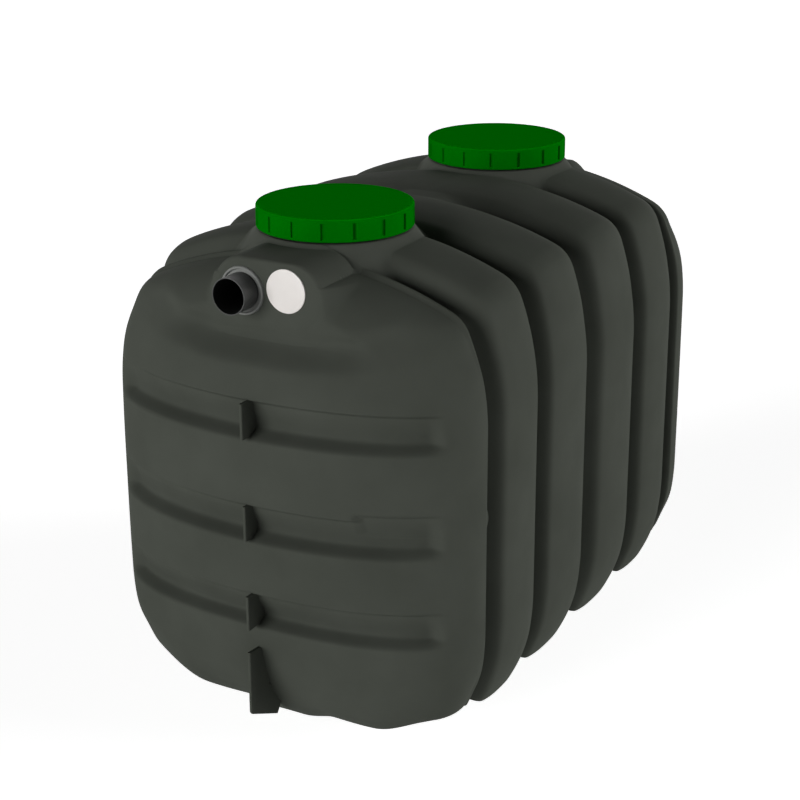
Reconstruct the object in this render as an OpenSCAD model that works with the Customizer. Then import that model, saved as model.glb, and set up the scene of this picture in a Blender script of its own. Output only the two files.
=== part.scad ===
// Underground septic tank of about 3 cubic metres: a ribbed, rotomoulded or
// blow-moulded shell with two round manholes, a pipe pad at each end and screw lids.
// +X is across the tank, -Y is the inlet end, +Z is up. The origin is on the
// ground, under the middle of the tank.

/* [Body] */
// Width of the body without the swell of its hoops
tank_w = 1228; // [1100:2:1400]
// Height of the body without its necks
body_h = 1492; // [1400:2:1600]
// Length of the hooped barrel between the two domed ends
barrel_l = 1504; // [1480:4:1700]
// Bulge of each domed end beyond the barrel
end_bulge = 300; // [220:5:360]
// Thickness of the moulded wall
wall = 8; // [5:0.5:12]
// Radius of the roof arch
roof_r = 1200; // [1000:10:1600]
// Radius of the shoulder between roof and side
shoulder_r = 110; // [90:5:160]
// Half width of the flat strip that the tank stands on
base_flat = 180; // [120:5:240]
// Radius of the belly beside the flat strip
belly_r = 1300; // [1000:10:1800]
// Radius of the lower corner
corner_r = 95; // [75:5:130]

/* [Hoops and grooves] */
// Depth of the grooves between the hoops
groove_depth = 60; // [30:2:70]
// Distance of the outer grooves from the middle of the tank
outer_groove_y = 697; // [680:1:720]
// Width of the outer grooves
outer_groove_w = 110; // [80:2:110]
// Distance of the inner grooves from the middle of the tank
inner_groove_y = 370; // [330:1:400]
// Width of the inner grooves
inner_groove_w = 92; // [70:2:110]
// How far a groove's lip is rounded into the hoop beside it
lip_round = 42; // [20:2:50]
// How far a hoop swells beyond the plain section at its sides
hoop_swell = 22; // [0:1:30]
// How far the two outer and the two inner hoops swell at their shoulders
outer_shoulder_swell = 28; // [0:1:40]
inner_shoulder_swell = 43; // [0:1:50]
// How much lower than the hoops the roof is where a domed end starts
end_drop = 38; // [0:1:45]
// Width of the middle groove
middle_groove_w = 124; // [90:2:150]
// Distance from the centre line at which the roof grooves reach full depth
groove_fade = 260; // [150:5:280]
// Radius of the lug in the first groove on each side
lug_r = 47; // [30:1:55]
// Height of the lugs above the ground
lug_z = 750; // [600:5:900]

/* [Domed ends] */
// Depth of the three level grooves across each end
face_groove_depth = 42; // [20:2:60]
// Height of a level groove, lip to lip
face_groove_h = 104; // [80:2:120]
// Height of the lowest level groove above the ground
face_groove_z = 454; // [420:2:480]
// Rise from the lowest level groove to the middle one
face_groove_rise = 286; // [260:2:300]
// Rise from the middle level groove to the top one
face_groove_rise_top = 314; // [300:2:330]
// Thickness of the upright webs and of the keel
web_t = 10; // [6:1:16]
// How far the webs and the keel stand proud of the dome
web_proud = 17; // [8:1:30]

/* [Manholes and lids] */
// Distance between the two manhole axes
manhole_pitch = 1075; // [1065:5:1080]
// Clear radius of a manhole
manhole_r = 200; // [180:2:204]
// Wall of the manhole neck
neck_wall = 8; // [6:0.5:10]
// Height of the lid's top above the body
neck_rise = 88; // [80:2:110]
// Slope of the cone between neck and roof, in degrees
cone_slope = 54; // [48:1:60]
// Outer radius of the lid
lid_r = 236; // [232:1:244]
// Height of the lid's skirt
lid_h = 66; // [58:1:70]
// Wall of the lid
lid_wall = 7; // [4:0.5:9]
// Number of grip notches round the lid
notch_count = 16; // [8:1:20]
// Thickness of the ring under the lid
gasket_t = 5; // [3:0.5:6]

/* [Pipe pads] */
// Distance of the pad's face from the middle of the tank
pad_y = 935; // [925:1:950]
// Height of the pad's axis above the ground
pad_z = 1398; // [1390:1:1402]
// Radius of the pad's round ends
pad_r = 100; // [94:1:102]
// Half distance between the centres of the pad's round ends
pad_half = 85; // [78:1:95]
// How much lower the outlet pad stands than the inlet pad
outlet_drop = 60; // [0:5:80]
// Outer diameter of the pipe stub
pipe_d = 110; // [90:1:114]
// Wall of the pipe stub
pipe_wall = 3.2; // [3:0.1:5]
// Length of stub outside the pad
pipe_out = 74; // [50:2:120]
// Outer radius of the rubber pipe seal
seal_r = 72; // [66:1:76]
// Radius of the blanking disc over the spare socket
disc_r = 64; // [50:1:68]

/* [Hidden] */

body_grey = "#42453f";
cone_grey = "#4b4d49";
lid_green = "#006a08";
pipe_grey = "#4b4b4b";
seal_grey = "#6e706e";
disc_white = "#ded9d5";

half_w = tank_w / 2;
rim_y = barrel_l / 2;
manhole_y = manhole_pitch / 2;
top_z = body_h + neck_rise;

// ---- cross-section of the barrel, half of it, as arcs ----
// Each arc is [centre x, centre z, radius, first angle, last angle], with the
// angle of the outward normal measured from straight up, turning towards +X.
roof_end = 24.5;
shoulder_end = 68;
flank_end = 110;
corner_end = 166;
crown_x = 290;
crown_end = asin(crown_x / roof_r);

function toward(c, from_r, to_r, a) = [c[0] + (from_r - to_r) * sin(a), c[1] + (from_r - to_r) * cos(a)];

roof_c = [0, body_h - roof_r];
shoulder_c = toward(roof_c, roof_r, shoulder_r, roof_end);
upper_r = (half_w - shoulder_c[0] - shoulder_r * sin(shoulder_end)) / (1 - sin(shoulder_end));
upper_c = toward(shoulder_c, shoulder_r, upper_r, shoulder_end);
belly_c = [base_flat, belly_r];
corner_c = toward(belly_c, belly_r, corner_r, corner_end);
lower_r = (half_w - corner_c[0] - corner_r * sin(flank_end)) / (1 - sin(flank_end));
lower_c = toward(corner_c, corner_r, lower_r, flank_end);

function arc(c, r, a0, a1, n) = [for (i = [0 : n]) let (a = a0 + (a1 - a0) * i / n)
    [c[0] + r * sin(a), c[1] + r * cos(a), a]];

// Stretches of the half section, each a list of [x, z, normal angle]
crown_pts = [for (x = [0, 60, 120, 180, 235, crown_x]) [x, roof_c[1] + sqrt(roof_r * roof_r - x * x), asin(x / roof_r)]];
shoulder_pts = concat(arc(roof_c, roof_r, crown_end, roof_end, 2),
    [for (p = arc(shoulder_c, shoulder_r, roof_end, shoulder_end, 5)) if (p[2] > roof_end) p]);
side_pts = concat(arc(upper_c, upper_r, shoulder_end, 90, 2), arc(lower_c, lower_r, 90, flank_end, 2),
    [for (p = arc(corner_c, corner_r, flank_end, corner_end, 4)) if (p[2] > flank_end) p]);
floor_pts = concat(arc(belly_c, belly_r, corner_end, 180, 2), [[-base_flat, 0, 180]],
    [for (p = arc([-base_flat, belly_r], belly_r, 180, 360 - corner_end, 2)) if (p[2] > 180) p]);

// The same stretch on the other side of the tank, still listed from left to right
function mirrored(section) = [for (i = [len(section) - 1 : -1 : 0]) [-section[i][0], section[i][1], -section[i][2]]];
crown_section = concat(mirrored([for (p = crown_pts) if (p[0] > 0) p]), crown_pts);

// Direction in which a groove sinks, as an angle: straight down on the crown,
// level on the sides, straight up under the belly
function sink_angle(a) = a < 0 ? -sink_angle(-a)
    : a > 180 ? 360 - sink_angle(360 - a)
    : a <= crown_end ? 0
    : a < 90 ? 90 * (a - crown_end) / (90 - crown_end)
    : a < corner_end ? 90 + 90 * (a - 90) / (corner_end - 90) : 180;

// ---- grooves along the barrel ----
grooves = [
    [-outer_groove_y, outer_groove_w / 2], [-inner_groove_y, inner_groove_w / 2], [0, middle_groove_w / 2],
    [inner_groove_y, inner_groove_w / 2], [outer_groove_y, outer_groove_w / 2]
];
// Share of the groove's depth at a distance t of its half width: steep towards a
// domed end, and eased into the hoop elsewhere
function steep_share(t) = t >= 1 ? 0 : t <= 0.25 ? 1 : 0.5 + 0.5 * cos(180 * (t - 0.25) / 0.75);
function eased_share(t) = t >= 1 ? 0 : t <= 0.08 ? 1 : pow(0.5 + 0.5 * cos(180 * (t - 0.08) / 0.92), 2);
steep_steps = [0.25, 0.5, 0.8, 1];
eased_steps = [0.08, 0.3, 0.45, 0.6, 0.78, 1];
// One side of a groove, from its middle outwards: [distance, share]
function steep_side(g) = [for (t = steep_steps) [t * g[1], steep_share(t)]];
function eased_side(g) = [for (t = eased_steps) [t * (g[1] + lip_round), eased_share(t)]];
function groove_side(g, side) = abs(g[0]) == outer_groove_y && sign(g[0]) == side ? steep_side(g) : eased_side(g);
function backwards(list) = [for (i = [len(list) - 1 : -1 : 0]) list[i]];

function smooth(t) = let (u = min(1, max(0, t))) u * u * (3 - 2 * u);
function roof_fade(x) = smooth((abs(x) - 40) / (groove_fade - 40));

// Share of the end section's smaller outline at a distance y from the middle:
// none up to the floor of the outer groove, all of it at the rim of the dome
function end_share(y) = smooth((abs(y) - outer_groove_y - outer_groove_w / 8) / (rim_y - outer_groove_y - outer_groove_w / 8));
// How far the end section stands above the plain one at a point: the roof is
// lower by end_drop, the underside higher by floor_lift and the lower corners
// rounder by end_lift
end_lift = 36;
floor_lift = 22;
function end_shift(x, z) = end_lift * smooth((abs(x) - 300) / 190) * (1 - smooth((z - 130) / 190))
    + floor_lift * (1 - smooth((z - 30) / 260)) - end_drop * smooth((z - 1130) / 200);

// How far the middle of a hoop swells, by the angle of the section's normal
function swell(a, y) = let (shoulder = abs(y) < inner_groove_y ? inner_shoulder_swell : outer_shoulder_swell)
    lookup(abs(a) > 180 ? 360 - abs(a) : abs(a), [[0, hoop_swell * 0.36], [15, hoop_swell * 0.65],
        [24, (hoop_swell + 2 * shoulder) / 3], [36, shoulder], [50, (hoop_swell + 3 * shoulder) / 4],
        [68, (3 * hoop_swell + shoulder) / 4], [80, hoop_swell], [flank_end, hoop_swell], [corner_end, 0], [180, 0]]);
// Share of the swell along a hoop: all of it at its middle, none at a groove's middle
hoop_ends = [for (g = grooves) g[0]];
function swell_share(y) = let (in = [for (i = [0 : len(hoop_ends) - 2]) if (y > hoop_ends[i] && y < hoop_ends[i + 1])
        (y - (hoop_ends[i] + hoop_ends[i + 1]) / 2) / ((hoop_ends[i + 1] - hoop_ends[i]) / 2)])
    len(in) == 0 ? 0 : 1 - in[0] * in[0];

// Rows along the barrel: [y, depth of the groove, share of the end section, share of the swell]
function ring_row(y, share) = [y, groove_depth * share, end_share(y), swell_share(y)];
ring_rows = concat(
    outer_groove_y + outer_groove_w / 2 < rim_y ? [ring_row(-rim_y, 0)] : [],
    [for (i = [0 : len(grooves) - 1]) let (g = grooves[i]) each concat(
        [for (r = backwards(groove_side(g, -1))) ring_row(g[0] - r[0], r[1])],
        [for (r = groove_side(g, 1)) ring_row(g[0] + r[0], r[1])],
        i < len(grooves) - 1 ? [ring_row((g[0] + grooves[i + 1][0]) / 2, 0)] : [])],
    outer_groove_y + outer_groove_w / 2 < rim_y ? [ring_row(rim_y, 0)] : []);

// A point of the barrel: section point p, row along the barrel, thickness t inwards
function barrel_pt(p, row, t) = let (
        a = sink_angle(p[2]),
        fade = abs(p[2]) <= crown_end ? roof_fade(p[0]) : 1,
        s = row[1] * fade - row[3] * swell(p[2], row[0]) + t / cos(p[2] - a))
    [p[0] - s * sin(a), row[0], p[1] + row[2] * end_shift(p[0], p[1]) - s * cos(a)];

// A closed panel between two grids of points, the outer and the inner surface
module panel(outer, inner) {
    m = len(outer);
    n = len(outer[0]);
    k = m * n;
    function at(i, j) = i * n + j;
    pts = concat([for (r = outer, p = r) p], [for (r = inner, p = r) p]);
    skin = [for (i = [0 : m - 2], j = [0 : n - 2]) let (a = at(i, j), b = at(i + 1, j), c = at(i + 1, j + 1), d = at(i, j + 1))
        each [[a, b, c], [a, c, d], [a + k, c + k, b + k], [a + k, d + k, c + k]]];
    edge_j = [for (i = [0 : m - 2]) let (a = at(i, 0), b = at(i + 1, 0), c = at(i + 1, n - 1), d = at(i, n - 1))
        each [[b, a, a + k], [b, a + k, b + k], [d, c, d + k], [c, c + k, d + k]]];
    edge_i = [for (j = [0 : n - 2]) let (a = at(0, j), d = at(0, j + 1), b = at(m - 1, j), c = at(m - 1, j + 1))
        each [[a, d, d + k], [a, d + k, a + k], [c, b, b + k], [c, b + k, c + k]]];
    polyhedron(pts, concat(edge_i, edge_j, skin), convexity = 6);
}

module barrel_panel(section, y0 = -rim_y, y1 = rim_y) {
    rows = [for (row = ring_rows) if (row[0] >= y0 - 0.01 && row[0] <= y1 + 0.01) row];
    panel([for (row = rows) [for (p = section) barrel_pt(p, row, 0)]],
        [for (row = rows) [for (p = section) barrel_pt(p, row, wall)]]);
}

// ---- domed ends ----
// Half width of the section at height z
function half_width(z) =
    z >= roof_c[1] + roof_r * cos(roof_end) ? sqrt(max(0, roof_r * roof_r - pow(z - roof_c[1], 2)))
    : z >= shoulder_c[1] + shoulder_r * cos(shoulder_end) ? shoulder_c[0] + sqrt(shoulder_r * shoulder_r - pow(z - shoulder_c[1], 2))
    : z >= upper_c[1] ? upper_c[0] + sqrt(upper_r * upper_r - pow(z - upper_c[1], 2))
    : z >= lower_c[1] ? half_w
    : z >= lower_c[1] + lower_r * cos(flank_end) ? lower_c[0] + sqrt(lower_r * lower_r - pow(z - lower_c[1], 2))
    : z >= corner_c[1] + corner_r * cos(corner_end) ? corner_c[0] + sqrt(corner_r * corner_r - pow(z - corner_c[1], 2))
    : base_flat + sqrt(max(0, belly_r * belly_r - pow(z - belly_r, 2)));
// Height of the roof and of the underside at a distance x from the middle
function roof_z(x) = let (a = abs(x))
    a <= roof_r * sin(roof_end) ? roof_c[1] + sqrt(roof_r * roof_r - a * a)
    : shoulder_c[1] + sqrt(shoulder_r * shoulder_r - pow(a - shoulder_c[0], 2));
function under_z(x) = let (a = abs(x))
    a <= base_flat ? 0
    : a <= belly_c[0] + belly_r * sin(corner_end) ? belly_r - sqrt(belly_r * belly_r - pow(a - base_flat, 2))
    : corner_c[1] - sqrt(corner_r * corner_r - pow(a - corner_c[0], 2));

mid_z = body_h / 2;
plan_power = 2.1;
rise_power = 2.5;
fall_power = 2.25;
function bulge(k, p) = pow(max(0, 1 - pow(min(1, abs(k)), p)), 1 / p);
// Share of the end's bulge at a share k of the width and a height z
function end_bulge_share(k, z) = bulge(k, plan_power) * bulge((z - mid_z) / mid_z, z < mid_z ? fall_power : rise_power);

// The three level grooves: [height, share of depth] rows
face_groove_zs = [face_groove_z + face_groove_rise + face_groove_rise_top, face_groove_z + face_groove_rise, face_groove_z];
function face_share(z) = max([for (g = face_groove_zs) let (t = abs(z - g) / (face_groove_h / 2))
    t >= 1.25 ? 0 : t <= 0.45 ? 1 : 0.5 + 0.5 * cos(180 * (t - 0.45) / 0.8)]);
function face_fade(x) = 1 - smooth((abs(x) - 440) / 130);

// The pad's axis, lower at the outlet, and how far its middle is off the tank's
$drop = 0;
pad_x = 15;
function pad_mid_z() = pad_z - $drop;
// Distance outside the pad's outline, with the sides drawn out so that the
// dome is eased to the pad over a wide band
pad_spread = 2.5;
pad_ease = 100;
function pad_gap(x, z) = max(0, norm([max(0, abs(x - pad_x) - pad_half) / pad_spread, z - pad_mid_z()]) - pad_r);
pad_seat = 1;

// How far the dome's surface stands beyond the rim, from the plain bulge there
function dome_out(raw, x, z) = let (
        flat = pad_y - pad_seat - rim_y,
        w = 1 - smooth(pad_gap(x, z) / pad_ease),
        eased = raw - w * max(0, raw - flat))
    eased - face_groove_depth * face_share(z) * face_fade(x);

dome_top = roof_z(shoulder_c[0] + 40);
dome_low = under_z(corner_c[0] + 40);
// Rows from the top down: [height at the side, share of the roof's or belly's curve]
dome_rows = concat(
    [[dome_top, 1], [dome_top - 30, 0.7], [dome_top - 65, 0.42], [dome_top - 105, 0.2], [dome_top - 150, 0]],
    [for (g = face_groove_zs, t = [1.25, 0.85, 0.45, -0.45, -0.85, -1.25]) [g + t * face_groove_h / 2, 0]],
    [[270, 0], [200, -0.2], [145, -0.45], [dome_low + 25, -0.8], [dome_low, -1]]);
dome_cols = 8;

function dome_row_x(row) = row[1] == 1 ? shoulder_c[0] + 40 : row[1] == -1 ? corner_c[0] + 40 : half_width(row[0]);
function dome_row_z(row, s) = let (x = s * dome_row_x(row))
    row[1] > 0 ? row[0] + row[1] * (roof_z(s * (shoulder_c[0] + 40)) - dome_top)
    : row[1] < 0 ? row[0] + row[1] * (dome_low - under_z(s * (corner_c[0] + 40)))
    : row[0];
// t is the thickness taken off inwards
function dome_pt(row, j, t) = let (
        s = sin(90 * j / dome_cols),
        x = s * dome_row_x(row),
        z0 = dome_row_z(row, s),
        z = z0 + end_shift(x, z0),
        edge = abs(j) == dome_cols || abs(row[1]) == 1,
        kx = abs(x) / max(1, half_width(z0)),
        share = edge ? 0 : end_bulge_share(kx, z0),
        out = edge ? 0 : dome_out(end_bulge * share, x, z))
    [x * (1 - t / half_w), -rim_y - out + t * min(1, 1.3 * share), mid_z + (z - mid_z) * (1 - t / mid_z)];

module dome_panel() {
    cols = [for (j = [dome_cols : -1 : -dome_cols]) j];
    panel([for (row = dome_rows) [for (j = cols) dome_pt(row, j, 0)]],
        [for (row = dome_rows) [for (j = cols) dome_pt(row, j, wall)]]);
}

// Everything inside the dome's outer surface, back to the rim
module dome_solid() {
    cols = [for (j = [dome_cols : -1 : -dome_cols]) j];
    panel([for (row = dome_rows) [for (j = cols) dome_pt(row, j, 0)]],
        [for (row = dome_rows) [for (j = cols) let (p = dome_pt(row, j, 0)) [p[0], 1 - rim_y, p[2]]]]);
}

// The roof's outer surface round a manhole, down to a level inside the tank
roof_floor = 1250;
module roof_solid() {
    right = [for (p = shoulder_pts) if (p[2] > crown_end) p];
    section = concat(mirrored(right), crown_section, right);
    rows = [for (row = ring_rows) if (row[0] <= 0) row];
    panel([for (row = rows) [for (p = section) barrel_pt(p, row, 0)]],
        [for (row = rows) [for (p = section) let (q = barrel_pt(p, row, 0)) [q[0], q[1], roof_floor]]]);
}

// The outlet end is the inlet end turned half round, with its pad lower
module outlet() {
    $drop = outlet_drop;
    rotate([0, 0, 180]) children();
}

// ---- shell ----
module left_side() { mirror([1, 0, 0]) children(); }

module end_shell() {
    color(body_grey) difference() {
        dome_panel();
        pad_prism(wall, pad_y - rim_y);
    }
}
module front_end() { end_shell(); }
module rear_end() { outlet() end_shell(); }
module right_wall() { color(body_grey) barrel_panel(side_pts); }
module left_wall() { left_side() right_wall(); }
module floor() { color(body_grey) barrel_panel(floor_pts); }
module roof_right() { color(body_grey) barrel_panel(shoulder_pts); }
module roof_left() { color(body_grey) barrel_panel(mirrored(shoulder_pts)); }

// The middle of the roof in three lengths, the outer two round a manhole each
roof_cut = eased_steps[3] * (middle_groove_w / 2 + lip_round);
module roof_piece(y0, y1) {
    color(body_grey) difference() {
        barrel_panel(crown_section, y0, y1);
        for (s = [-1, 1])
            translate([0, s * manhole_y, roof_floor]) cylinder(h = 300, r = neck_r, $fn = 96);
    }
}
module roof_front() { roof_piece(-rim_y, -roof_cut); }
module roof_middle() { roof_piece(-roof_cut, roof_cut); }
module roof_rear() { roof_piece(roof_cut, rim_y); }

// ---- manholes ----
neck_r = manhole_r + neck_wall;
neck_top = top_z - lid_wall - gasket_t;
thread_proud = 9;
thread_h = 12;

module neck_tube() {
    z0 = body_h - 60;
    color(cone_grey) translate([0, -manhole_y, 0]) rotate_extrude($fn = 96) polygon([
        [manhole_r, z0], [neck_r, z0],
        [neck_r, neck_top - 44], [neck_r + thread_proud, neck_top - 44 + 4],
        [neck_r + thread_proud, neck_top - 44 + thread_h - 4], [neck_r, neck_top - 44 + thread_h],
        [neck_r, neck_top - 22], [neck_r + thread_proud, neck_top - 18],
        [neck_r + thread_proud, neck_top - 22 + thread_h - 4], [neck_r, neck_top - 22 + thread_h],
        [neck_r, neck_top], [manhole_r, neck_top]]);
}
module inlet_neck() { neck_tube(); }
module outlet_neck() { outlet() neck_tube(); }

lid_gap = 6;
cone_top = top_z - lid_h - lid_gap;
cone_out = 330;
cone_floor = 1370;
module neck_cone() {
    color(cone_grey) difference() {
        translate([0, -manhole_y, 0]) rotate_extrude($fn = 96) polygon([
            [neck_r, cone_top], [lid_r, cone_top],
            [cone_out, cone_top - (cone_out - lid_r) * tan(cone_slope)],
            [cone_out, cone_floor], [neck_r, cone_floor]]);
        roof_solid();
        dome_solid();
        pad_prism(0, pad_y - rim_y);
    }
}
module inlet_cone() { neck_cone(); }
module outlet_cone() { outlet() neck_cone(); }

// ---- lids ----
module lid() {
    color(lid_green) translate([0, -manhole_y, 0]) difference() {
        rotate_extrude($fn = 96) polygon([
            [0, top_z], [lid_r - 8, top_z], [lid_r - 2, top_z - 2], [lid_r, top_z - 7], [lid_r, top_z - lid_h],
            [lid_r - lid_wall, top_z - lid_h], [lid_r - lid_wall, top_z - lid_wall], [0, top_z - lid_wall]]);
        for (i = [0 : notch_count - 1])
            rotate([0, 0, i * 360 / notch_count])
                translate([lid_r - 2.5, -6, top_z - lid_h - 1]) cube([6, 12, lid_h - 11]);
    }
}
module inlet_lid() { lid(); }
module outlet_lid() { outlet() lid(); }

module gasket() {
    color("#1c1c1c") translate([0, -manhole_y, 0]) rotate_extrude($fn = 96)
        translate([manhole_r, neck_top]) square([neck_wall, gasket_t]);
}
module inlet_gasket() { gasket(); }
module outlet_gasket() { outlet() gasket(); }

// ---- pads, pipes, seals and discs ----
pipe_x = -68;
disc_x = 78;
disc_rise = 17;
pipe_r = pipe_d / 2;
sleeve_r = pipe_r + 7;
seal_lip = 9;
seal_grip = 2;
seal_play = 0.3;

// The pad's outline moved in by shrink, from its face down to a depth
module pad_prism(shrink, depth) {
    translate([pad_x, -pad_y, pad_mid_z()]) rotate([-90, 0, 0]) linear_extrude(depth) union() {
        translate([-pad_half, -pad_r + shrink]) square([2 * pad_half, 2 * (pad_r - shrink)]);
        for (s = [-1, 1]) translate([s * pad_half, 0]) circle(r = pad_r - shrink, $fn = 64);
    }
}
module pipe_hole() {
    translate([pipe_x, -pad_y - 50, pad_mid_z()]) rotate([-90, 0, 0]) cylinder(h = 200, r = sleeve_r, $fn = 64);
}
module pad() {
    color(body_grey) difference() {
        union() {
            difference() {
                pad_prism(0, pad_y - rim_y);
                pad_prism(wall, pad_y - rim_y);
                dome_solid();
            }
            pad_prism(wall, wall);
        }
        pipe_hole();
    }
}
module inlet_pad() { pad(); }
module outlet_pad() { outlet() pad(); }

module pipe_stub() {
    color(pipe_grey) translate([pipe_x, -pad_y - pipe_out, pad_mid_z()]) rotate([-90, 0, 0]) difference() {
        union() {
            cylinder(h = pipe_out - seal_lip, r = pipe_r, $fn = 64);
            cylinder(h = pipe_out + 90, r = pipe_r - seal_grip, $fn = 64);
        }
        translate([0, 0, -1]) cylinder(h = pipe_out + 92, r = pipe_r - pipe_wall, $fn = 64);
    }
}
module inlet_pipe() { pipe_stub(); }
module outlet_pipe() { outlet() pipe_stub(); }

module pipe_seal() {
    color(seal_grey) translate([pipe_x, -pad_y, pad_mid_z()]) rotate([-90, 0, 0]) rotate_extrude($fn = 64) polygon([
        [pipe_r - seal_grip, -seal_lip], [seal_r - 4, -seal_lip], [seal_r, 4 - seal_lip], [seal_r, 0],
        [sleeve_r - seal_play, 0], [sleeve_r - seal_play, 30], [pipe_r - seal_grip, 30]]);
}
module inlet_seal() { pipe_seal(); }
module outlet_seal() { outlet() pipe_seal(); }

module blank_disc() {
    color(disc_white) translate([disc_x, -pad_y, pad_mid_z() + disc_rise]) rotate([90, 0, 0]) cylinder(h = 4, r = disc_r, $fn = 64);
}
module inlet_disc() { blank_disc(); }
module outlet_disc() { outlet() blank_disc(); }

// ---- webs, feet and lugs ----
web_y = rim_y + end_bulge + web_proud;
module end_webs() {
    color(body_grey) difference() {
        for (g = face_groove_zs)
            translate([-web_t / 2, -web_y, g - face_groove_h / 2])
                cube([web_t, 120, face_groove_h]);
        dome_solid();
    }
}
module front_webs() { end_webs(); }
module rear_webs() { outlet() end_webs(); }

module end_foot() {
    color(body_grey) difference() {
        translate([-web_t / 2, 0, 0]) rotate([90, 0, 90]) linear_extrude(web_t) polygon([
            [-web_y, 327], [-web_y, 132], [-web_y + 12, 123], [-rim_y - 180, 60], [-rim_y, 60], [-rim_y, 327]]);
        dome_solid();
    }
}
module front_foot() { end_foot(); }
module rear_foot() { outlet() end_foot(); }

// A half-round lug on the inlet side of a groove: groove, share of lug_r
function lug_seat(g, along, share) = half_w - groove_depth * share + hoop_swell * swell_share(g[0] + along);
module side_lugs() {
    color(body_grey) for (lug = [[grooves[0], 1], [grooves[1], 0.4], [grooves[2], 0.8]]) {
        g = lug[0];
        before = backwards(groove_side(g, -1));
        after = groove_side(g, 1);
        intersection() {
            translate([0, g[0], lug_z - lug_r]) linear_extrude(2 * lug_r) polygon(concat(
                [for (r = before) if (r[1] > 0.05) [lug_seat(g, -r[0], r[1]), -r[0]]],
                [for (r = after) if (r[1] > 0.05) [lug_seat(g, r[0], r[1]), r[0]]]));
            translate([half_w - groove_depth - 1, g[0] - 0.8 * g[1], lug_z]) rotate([0, 90, 0])
                cylinder(h = groove_depth, r = lug_r * lug[1], $fn = 48);
        }
    }
}
module right_lugs() { side_lugs(); }
module left_lugs() { left_side() side_lugs(); }

front_end();
rear_end();
left_wall();
right_wall();
floor();
roof_left();
roof_right();
roof_front();
roof_middle();
roof_rear();
inlet_neck();
outlet_neck();
inlet_cone();
outlet_cone();
inlet_pad();
outlet_pad();
inlet_pipe();
outlet_pipe();
inlet_seal();
outlet_seal();
inlet_disc();
outlet_disc();
inlet_lid();
outlet_lid();
inlet_gasket();
outlet_gasket();
front_webs();
rear_webs();
front_foot();
rear_foot();
left_lugs();
right_lugs();
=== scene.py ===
"""Underground septic tank: the moulded shell, manholes, lids, pipe pads and ribs.

Every surface is a function of two parameters, worked out as whole numpy arrays
in metres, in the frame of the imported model: +X across the tank, -Y towards the
inlet end, +Z up, with the origin on the ground under the middle of the tank.
"""

import logging
import math
from dataclasses import dataclass, field, replace
from enum import Enum
from functools import cached_property

import bpy
import numpy as np
from mathutils import Matrix, Vector


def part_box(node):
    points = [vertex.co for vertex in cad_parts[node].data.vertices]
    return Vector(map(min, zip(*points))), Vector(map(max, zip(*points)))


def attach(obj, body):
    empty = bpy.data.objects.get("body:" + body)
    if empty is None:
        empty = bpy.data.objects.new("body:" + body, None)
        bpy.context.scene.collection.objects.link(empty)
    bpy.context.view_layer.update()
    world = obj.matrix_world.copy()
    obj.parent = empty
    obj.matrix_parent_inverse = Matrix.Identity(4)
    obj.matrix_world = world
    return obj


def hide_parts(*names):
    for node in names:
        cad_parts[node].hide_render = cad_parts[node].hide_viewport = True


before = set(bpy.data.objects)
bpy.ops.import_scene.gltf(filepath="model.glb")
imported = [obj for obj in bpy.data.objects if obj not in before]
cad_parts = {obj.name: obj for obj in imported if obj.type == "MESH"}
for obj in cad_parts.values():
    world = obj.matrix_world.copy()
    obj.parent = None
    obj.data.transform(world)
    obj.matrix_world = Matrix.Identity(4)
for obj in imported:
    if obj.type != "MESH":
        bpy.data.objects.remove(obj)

log = logging.getLogger("septic_tank")

MM = 0.001
# Samples of a span, from which rows at uneven steps are picked.
FINE_POINTS = 20001
# Share of the hoops' swell on the crown of the roof.
CROWN_SWELL = 0.36


class End(Enum):
    """An end of the tank. The value is the sign of its Y."""

    INLET = -1
    OUTLET = 1

    @property
    def fitting(self) -> str:
        """The end's word in the names of its manhole and pipe: inlet or outlet."""
        return self.name.lower()

    @property
    def side(self) -> str:
        """The end's word in the names of its ribs: front or rear."""
        return "front" if self is End.INLET else "rear"


class Body(Enum):
    """The bodies that move on their own."""

    TANK = "tank"
    INLET_COVER = "inlet_cover"
    OUTLET_COVER = "outlet_cover"


# Heights of the pipes: an outlet is 60 mm lower than an inlet.
PIPE_Z = {End.INLET: 1.398, End.OUTLET: 1.338}
END_BULGE = 0.300


# ---------------------------------------------------------------- arithmetic


def smooth(t: np.ndarray) -> np.ndarray:
    """The smooth step 3t^2 - 2t^3, with t held between 0 and 1."""
    u = np.clip(t, 0.0, 1.0)
    return u * u * (3.0 - 2.0 * u)


def eased(value: np.ndarray, start: float, span: float) -> np.ndarray:
    """The smooth step of a value, nothing up to start and full from start + span."""
    return smooth((value - start) / span)


def sin_deg(angle: float) -> float:
    """Sine of an angle in degrees."""
    return math.sin(math.radians(angle))


def cos_deg(angle: float) -> float:
    """Cosine of an angle in degrees."""
    return math.cos(math.radians(angle))


def spaced(values: np.ndarray, steps: np.ndarray) -> np.ndarray:
    """Picks positions that stand a local step apart.

    Args:
        values: Fine positions in rising order.
        steps: The step wanted at each of them.

    Returns:
        The positions, from the first value to the last.
    """
    count = np.concatenate([[0.0], np.cumsum(np.diff(values) / steps[:-1])])
    return np.interp(np.linspace(0.0, count[-1], int(count[-1]) + 1), count, values)


def smooth_max(a: np.ndarray, b: np.ndarray, k: float) -> np.ndarray:
    """The larger of a and b, with the corner between them rounded.

    With h = 0.5 + (a - b) / 2k held between 0 and 1, it is
    a h + b (1 - h) + k h (1 - h).

    Args:
        a: First surface.
        b: Second surface.
        k: Size of the rounding, in metres.

    Returns:
        The rounded maximum.
    """
    h = np.clip(0.5 + 0.5 * (a - b) / k, 0.0, 1.0)
    return a * h + b * (1.0 - h) + k * h * (1.0 - h)


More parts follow.
